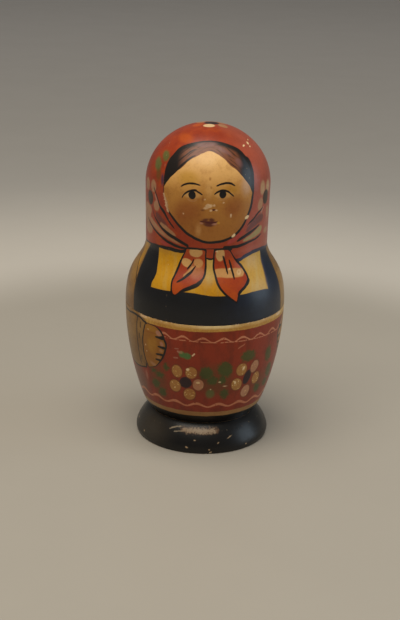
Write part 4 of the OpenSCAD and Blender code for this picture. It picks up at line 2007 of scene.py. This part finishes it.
class PaintBox:
    """Paints for the halves: each is drawn once, and copies are sized and tinted for the other dolls."""

    PAINTERS = {Half.LOWER: SkirtPainter, Half.UPPER: ScarfPainter}
    NEAR = 1e-5

    def __init__(self) -> None:
        """Starts with nothing drawn."""
        self.drawn: dict[Half, bpy.types.Material] = {}

    def coat(self, half: Half, doll: "Doll") -> bpy.types.Material:
        """Paints a half of a doll.

        Args:
            half: Which half.
            doll: Doll that it belongs to; the first one asked for has no tints.

        Returns:
            The finish of its outside.
        """
        name = f"doll_{doll.number}_{half.value}_paint"
        if half not in self.drawn:
            self.drawn[half] = self.PAINTERS[half](name, doll.scale, doll.base_z, doll.number).paint()
            return self.drawn[half]
        copy = self.drawn[half].copy()
        copy.name = name
        for node in copy.node_tree.nodes:
            if node.label == Surface.SIZE_NODE:
                Surface.resize(node, doll.scale, doll.base_z)
            elif node.label == Painter.WEAR_NODE:
                Painter.weather(node, doll.number)
            elif node.bl_idname == "ShaderNodeMix":
                self.tint(node, doll.tints)
        return copy

    def tint(self, node: bpy.types.Node, tints: Tints) -> None:
        """Changes the pigments that a node mixes.

        Args:
            node: Mix node.
            tints: Colours that take the place of the first doll's.
        """
        for socket in (s for s in node.inputs if s.type == "RGBA" and not s.is_linked):
            for pigment, colour in tints.items():
                if max(abs(a - b) for a, b in zip(socket.default_value, pigment.value)) < self.NEAR:
                    socket.default_value = (*colour, 1.0)
                    break


@dataclass
class Doll:
    """One doll of the set: two turned halves, or one solid piece in the middle.

    Attributes:
        number: Place in the set, from the outside.
        tints: Colours that differ from the largest doll's.
        box: Where its paints come from.
        mortise: Radius and depth of the hole under it for the stand's tenon, in millimetres, if it has one.
    """

    number: int
    tints: Tints
    box: PaintBox
    mortise: Optional[Point] = None
    curve_steps: int = 36
    hollow_steps: int = 20
    rim_round: float = 0.3
    neck_round: float = 1.6
    hem_round: float = 0.9
    lathe: Lathe = field(default_factory=Lathe)

    def __post_init__(self) -> None:
        """Reads the doll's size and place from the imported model."""
        self.solid = self.number > HOLLOW_DOLLS
        self.base_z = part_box(self.node(Half.LOWER))[0].z
        self.top_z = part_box(self.node(Half.UPPER))[1].z
        self.scale = (self.top_z - self.base_z) / (MM * OUTLINE.height)
        share = (self.number - 1) / (HOLLOW_DOLLS - 1)
        self.walls = LARGEST_WALLS.graded(SMALLEST_WALLS, share)

    def node(self, half: Half) -> str:
        """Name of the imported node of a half."""
        return f"doll_{self.number}" if self.solid else f"doll_{self.number}_{half.name.lower()}"

    def placed(self, points: Sequence[Point]) -> list[Point]:
        """Points of a profile in millimetres above the doll's bottom, put in place."""
        return [(MM * r, self.base_z + MM * z) for r, z in points]

    def skirt(self, steps: int) -> list[Point]:
        """Side of the lower half at the doll's size."""
        return stretched(OUTLINE.skirt(steps), self.scale)

    def shoulder(self, steps: int) -> list[Point]:
        """Side of the upper half below the neck at the doll's size."""
        return stretched(OUTLINE.shoulder(steps), self.scale)

    def bottom(self) -> list[Point]:
        """Flat underside from the axis to its edge, with the mortise if there is one.

        Returns:
            Points of the profile.
        """
        edge = (self.scale * OUTLINE.base[0], 0.0)
        if self.mortise is None:
            return [(0.0, 0.0), edge]
        radius, depth = self.mortise
        return [(0.0, depth), (radius, depth), (radius, 0.0), edge]

    def spigot_top(self) -> float:
        """Height of the end of the spigot above the doll's bottom."""
        return self.scale * OUTLINE.belly[1] + self.walls.spigot_len

    def lower_hollow(self) -> list[Point]:
        """Rim, spigot and hollow of the lower half, from the belly to the axis.

        Returns:
            Points of the profile.
        """
        walls, curve = self.walls, self.skirt(self.hollow_steps)
        belly, rim = curve[-1]
        top, edge = self.spigot_top(), walls.bevel
        outer, mouth = belly - walls.socket - walls.play, belly - walls.lower()
        wall_side = [(r - walls.lower(), z) for r, z in reversed(curve) if z > walls.floor + walls.nest_gap]
        corner = radius_at(curve, walls.floor) - walls.lower()
        spigot = [
            (belly, rim), (outer, rim), (outer, top - edge), (outer - edge, top), (mouth + edge, top),
            (mouth, top - edge),
        ]
        seat = walls.floor - walls.seat_gap
        return spigot + wall_side + [(corner, seat), (0.0, seat)]

    def upper_hollow(self, inner: "Doll") -> list[Point]:
        """Hollow and socket of the upper half, from the axis to the belly.

        Args:
            inner: Doll that stands in the hollow.

        Returns:
            Points of the profile.
        """
        walls, curve = self.walls, self.shoulder(self.hollow_steps)
        belly, neck = curve[0], curve[-1]
        level = self.spigot_top() + walls.end_play
        top = walls.floor + inner.scale * OUTLINE.height + walls.nest_gap
        spring = max(neck[1], walls.floor + inner.scale * OUTLINE.temple[1])
        dome = quarter(neck[0] - walls.head, spring, top - spring, self.hollow_steps)
        throat = [(neck[0] - walls.head, neck[1])] if spring > neck[1] else []
        inward = [(r - walls.head, z) for r, z in reversed(curve) if level + walls.nest_gap < z < neck[1]]
        socket = belly[0] - walls.socket
        shelf = [
            (radius_at(sorted(curve, key=lambda p: p[1]), level) - walls.head, level),
            (socket, level),
        ]
        return dome[::-1] + throat + inward + shelf + [(socket, belly[1]), belly]

    def edges(self, half: Half) -> list[RoundedEdge]:
        """Edges of a half that are rounded over.

        Args:
            half: Which half.

        Returns:
            The edges.
        """
        belly, neck, hem, base = self.placed(
            stretched((OUTLINE.belly, OUTLINE.neck, OUTLINE.hem, OUTLINE.base), self.scale)
        )
        size = MM * self.scale
        rim = [] if self.solid else [RoundedEdge(belly, self.rim_round * MM)]
        lower = [RoundedEdge(hem, self.hem_round * size), RoundedEdge(base, self.hem_round * size / 2)]
        upper = [RoundedEdge(neck, self.neck_round * size)]
        if self.solid:
            return lower + upper
        return rim + (lower if half is Half.LOWER else upper)

    def build(self, wood: bpy.types.Material, inner: Optional["Doll"]) -> None:
        """Turns and dresses the doll's pieces.

        Args:
            wood: Finish of the bare inside.
            inner: Doll that stands in this one, if it is hollow.
        """
        skirt = [stretched([OUTLINE.base], self.scale)[0]] + self.skirt(self.curve_steps)
        scarf = self.shoulder(self.curve_steps) + stretched(OUTLINE.head(self.curve_steps), self.scale)
        if inner is None:
            stretches = [
                Stretch(self.placed(self.bottom()), 2), Stretch(self.placed(skirt), 0),
                Stretch(self.placed(scarf), 1),
            ]
            finishes = [self.box.coat(Half.LOWER, self), self.box.coat(Half.UPPER, self), wood]
            piece = self.lathe.turn(
                f"doll_{self.number}_solid", stretches, self.edges(Half.LOWER), finishes,
            )
            self.settle(piece, Half.LOWER)
            return
        hollows = {Half.LOWER: self.lower_hollow(), Half.UPPER: self.upper_hollow(inner)}
        sides = {Half.LOWER: skirt, Half.UPPER: scarf}
        for half in Half:
            stretches = [Stretch(self.placed(sides[half]), 0), Stretch(self.placed(hollows[half]), 1)]
            if half is Half.LOWER:
                stretches.append(Stretch(self.placed(self.bottom()), 1))
            name = f"doll_{self.number}_{half.value}_half"
            piece = self.lathe.turn(name, stretches, self.edges(half), [self.box.coat(half, self), wood])
            self.settle(piece, half)

    def settle(self, piece: bpy.types.Object, half: Half) -> None:
        """Puts a piece on its body.

        Args:
            piece: Turned piece.
            half: Half that it is.
        """
        node = self.node(half)
        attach(piece, node)
        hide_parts(node)
        LOG.info("%s rides on %s", piece.name, node)


@dataclass
class Stand:
    """Round black stand with the tenon that is glued into the largest doll, in millimetres."""

    body: str = "doll_1_lower"
    foot_r: float = 31.1
    edge_h: float = 2.0
    fullness: float = 0.3
    run: float = 0.45
    drop: float = 0.2
    tenon_r: float = 9.0
    tenon_len: float = 4.0
    edge_round: float = 0.9
    foot_round: float = 0.4
    wear_seed: int = 9
    steps: int = 28
    lathe: Lathe = field(default_factory=Lathe)

    def build(self, wood: bpy.types.Material) -> None:
        """Turns and dresses the stand.

        Args:
            wood: Finish of its bare underside and tenon.
        """
        low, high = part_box("stand")
        wide = (high.x - low.x) / 2 / MM
        top = high.z / MM - self.tenon_len
        neck = OUTLINE.base[0]
        side = cubic(
            (wide, self.edge_h),
            (wide, between(self.edge_h, top, self.fullness)),
            (between(neck, wide, self.run), between(top, self.edge_h, self.drop)),
            (neck, top),
            self.steps,
        )
        end = top + self.tenon_len
        tenon = [(neck, top), (self.tenon_r, top), (self.tenon_r, end), (0.0, end)]
        profile = [
            Stretch([(0.0, 0.0), (self.foot_r, 0.0)], 1),
            Stretch([(self.foot_r, 0.0)] + side, 0),
            Stretch(tenon, 1),
        ]
        stretches = [Stretch([(MM * r, MM * z) for r, z in s.points], s.finish) for s in profile]
        edges = [
            RoundedEdge((MM * wide, MM * self.edge_h), self.edge_round * MM),
            RoundedEdge((MM * self.foot_r, 0.0), self.foot_round * MM),
        ]
        paint = StandPainter("stand_paint", 1.0, 0.0, self.wear_seed).paint()
        piece = self.lathe.turn("stand_turned", stretches, edges, [paint, wood])
        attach(piece, self.body)
        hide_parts("stand")
        LOG.info("%s rides on %s", piece.name, self.body)


@dataclass(frozen=True)
class Panel:
    """Square soft light.

    Attributes:
        name: Name of the light.
        place: Where it hangs.
        size: Length of its side.
        power: Watts.
        colour: Colour of its light.
    """

    name: str
    place: Place
    size: float
    power: float
    colour: Colour

    def hang(self, aim: Place) -> None:
        """Hangs the light.

        Args:
            aim: Place that it looks at.
        """
        data = bpy.data.lights.new(self.name, "AREA")
        data.size, data.energy, data.color = self.size, self.power, self.colour
        light = bpy.data.objects.new(self.name, data)
        light.location = self.place
        ahead = Vector(aim) - Vector(self.place)
        light.rotation_euler = ahead.to_track_quat("-Z", "Y").to_euler()
        bpy.context.scene.collection.objects.link(light)


@dataclass
class Studio:
    """Floor, soft light and camera."""

    eye: Place = (0.0, -0.6228, 0.2844)
    pitch: float = 19.8
    yaw: float = -0.2
    roll: float = 1.48
    lens: float = 81.29
    sensor: float = 36.0
    aim: Place = (0.0, 0.0, 0.075)
    overhead: Panel = Panel("overhead", (-0.12, -0.25, 1.10), 0.9, 12.0, (1.0, 0.95, 0.85))
    side: Panel = Panel("side", (0.80, -0.05, 0.24), 0.45, 1.7, (0.70, 0.86, 1.0))
    surround: Colour = (0.42, 0.41, 0.39)
    surround_strength: float = 0.38
    floor_r: float = 10.0
    floor_sides: int = 96
    floor_near: Colour = (0.43, 0.39, 0.33)
    floor_pale: Colour = (0.63, 0.58, 0.51)
    floor_mid: Colour = (0.45, 0.42, 0.38)
    floor_far: Colour = (0.62, 0.585, 0.55)
    floor_rings: tuple[float, ...] = (0.19, 0.28, 0.5, 1.4)
    floor_rough: float = 0.42
    mottle_size: float = 0.05
    mottle_grey: Colour = (0.8, 0.8, 0.8)
    mottle_fade: Fade = Fade(0.3, 0.7, 0.1)
    mottle_rough: float = 0.1

    def build(self) -> None:
        """Makes the stage around the object."""
        scene = bpy.context.scene
        scene.view_settings.view_transform = "Standard"
        scene.view_settings.look = "None"
        self.floor()
        self.lights()
        self.camera()

    def floor(self) -> None:
        """Lays a pale floor whose tone changes in rings round the object, as painted light."""
        bm = bmesh.new()
        bmesh.ops.create_circle(bm, cap_ends=True, segments=self.floor_sides, radius=self.floor_r)
        mesh = bpy.data.meshes.new("floor")
        bm.to_mesh(mesh)
        bm.free()
        graph = Graph("floor_matt")
        place = graph.node("ShaderNodeTexCoord").outputs["Object"]
        away = graph.length(place)
        mottle = graph.noise(place, self.mottle_size, detail=4.0)
        # Painted light: darker close to the object, pale in a ring, greyer beyond and paler far off, for
        # how the light falls on the floor and the backdrop.
        colour: Feed = self.floor_near
        tones = (self.floor_pale, self.floor_mid, self.floor_far)
        for start, end, tone in zip(self.floor_rings, self.floor_rings[1:], tones):
            colour = graph.mix(away.ramp(start, end), colour, tone)
        colour = graph.mix(self.mottle_fade.over(mottle), colour, self.mottle_grey, "MULTIPLY")
        mesh.materials.append(graph.surface(colour, self.floor_rough + mottle * self.mottle_rough))
        floor = bpy.data.objects.new("floor", mesh)
        bpy.context.scene.collection.objects.link(floor)

    def lights(self) -> None:
        """Hangs a large soft light overhead, a cool fill to the right and an even surround."""
        for panel in (self.overhead, self.side):
            panel.hang(self.aim)
        world = bpy.data.worlds.new("surround")
        world.use_nodes = True
        shade = world.node_tree.nodes["Background"]
        shade.inputs["Color"].default_value = (*self.surround, 1.0)
        shade.inputs["Strength"].default_value = self.surround_strength
        bpy.context.scene.world = world

    def camera(self) -> None:
        """Sets the camera at the photograph's angle."""
        pitch, yaw, roll = (math.radians(a) for a in (self.pitch, self.yaw, self.roll))
        level = math.cos(pitch)
        ahead = Vector((math.sin(yaw) * level, math.cos(yaw) * level, -math.sin(pitch)))
        right = Vector((math.cos(yaw), -math.sin(yaw), 0.0))
        above = right.cross(ahead)
        side = math.cos(roll) * right + math.sin(roll) * above
        top = math.cos(roll) * above - math.sin(roll) * right
        data = bpy.data.cameras.new("camera")
        data.lens, data.sensor_width = self.lens, self.sensor
        camera = bpy.data.objects.new("camera", data)
        turn = Matrix((side, top, -ahead)).transposed().to_4x4()
        camera.matrix_world = Matrix.Translation(self.eye) @ turn
        bpy.context.scene.collection.objects.link(camera)
        bpy.context.scene.camera = camera


TINTS: tuple[Tints, ...] = (
    {},
    {
        Pigment.SCARF: (0.53, 0.25, 0.03), Pigment.SCARF_LIGHT: (0.62, 0.36, 0.06),
        Pigment.SCARF_SHADE: (0.33, 0.13, 0.02), Pigment.SCARF_FADED: (0.55, 0.3, 0.08),
        Pigment.SKIRT: (0.03, 0.07, 0.15), Pigment.SKIRT_SHADE: (0.02, 0.04, 0.08),
        Pigment.BLOUSE: (0.62, 0.55, 0.4), Pigment.VEST: (0.2, 0.03, 0.02),
    },
    {
        Pigment.SCARF: (0.38, 0.035, 0.03), Pigment.SKIRT: (0.11, 0.15, 0.025),
        Pigment.SKIRT_SHADE: (0.06, 0.08, 0.02), Pigment.BLOUSE: (0.55, 0.36, 0.07),
        Pigment.VEST: (0.02, 0.05, 0.03), Pigment.LEAF: (0.02, 0.05, 0.02),
    },
    {
        Pigment.SCARF: (0.58, 0.36, 0.045), Pigment.SCARF_LIGHT: (0.66, 0.46, 0.09),
        Pigment.SCARF_SHADE: (0.36, 0.19, 0.03), Pigment.SCARF_FADED: (0.6, 0.4, 0.1),
        Pigment.SKIRT: (0.2, 0.03, 0.06), Pigment.SKIRT_SHADE: (0.1, 0.02, 0.03),
        Pigment.VEST: (0.02, 0.03, 0.07),
    },
    {
        Pigment.SCARF: (0.4, 0.05, 0.02), Pigment.SKIRT: (0.26, 0.1, 0.015),
        Pigment.SKIRT_SHADE: (0.15, 0.055, 0.012), Pigment.BLOUSE: (0.6, 0.52, 0.36),
        Pigment.VEST: (0.03, 0.06, 0.05),
    },
    {
        Pigment.SCARF: (0.54, 0.18, 0.03), Pigment.SCARF_LIGHT: (0.62, 0.28, 0.05),
        Pigment.SCARF_SHADE: (0.34, 0.09, 0.02), Pigment.SCARF_FADED: (0.56, 0.24, 0.08),
        Pigment.SKIRT: (0.047, 0.115, 0.095), Pigment.SKIRT_SHADE: (0.03, 0.06, 0.05),
        Pigment.VEST: (0.16, 0.025, 0.02),
    },
    {
        Pigment.SCARF: (0.58, 0.35, 0.07), Pigment.SCARF_LIGHT: (0.66, 0.45, 0.12),
        Pigment.SCARF_SHADE: (0.36, 0.18, 0.03), Pigment.SCARF_FADED: (0.6, 0.38, 0.12),
        Pigment.SKIRT: (0.3, 0.045, 0.015),
    },
)


def main() -> None:
    """Builds the set from the outside in, and the stage around it."""
    logging.basicConfig(level=logging.INFO, format="%(message)s")
    wood = BareWood().material("bare_wood")
    aged = BareWood(WoodFinish.AGED).material("aged_wood")
    Stand().build(aged)
    box = PaintBox()
    mortises = [MORTISE] + [None] * HOLLOW_DOLLS
    dolls = [Doll(i + 1, tints, box, mortises[i]) for i, tints in enumerate(TINTS)]
    for doll, inner in zip(dolls, dolls[1:] + [None]):
        doll.build(wood, inner)
    Studio().build()


if __name__ == "__main__":
    main()
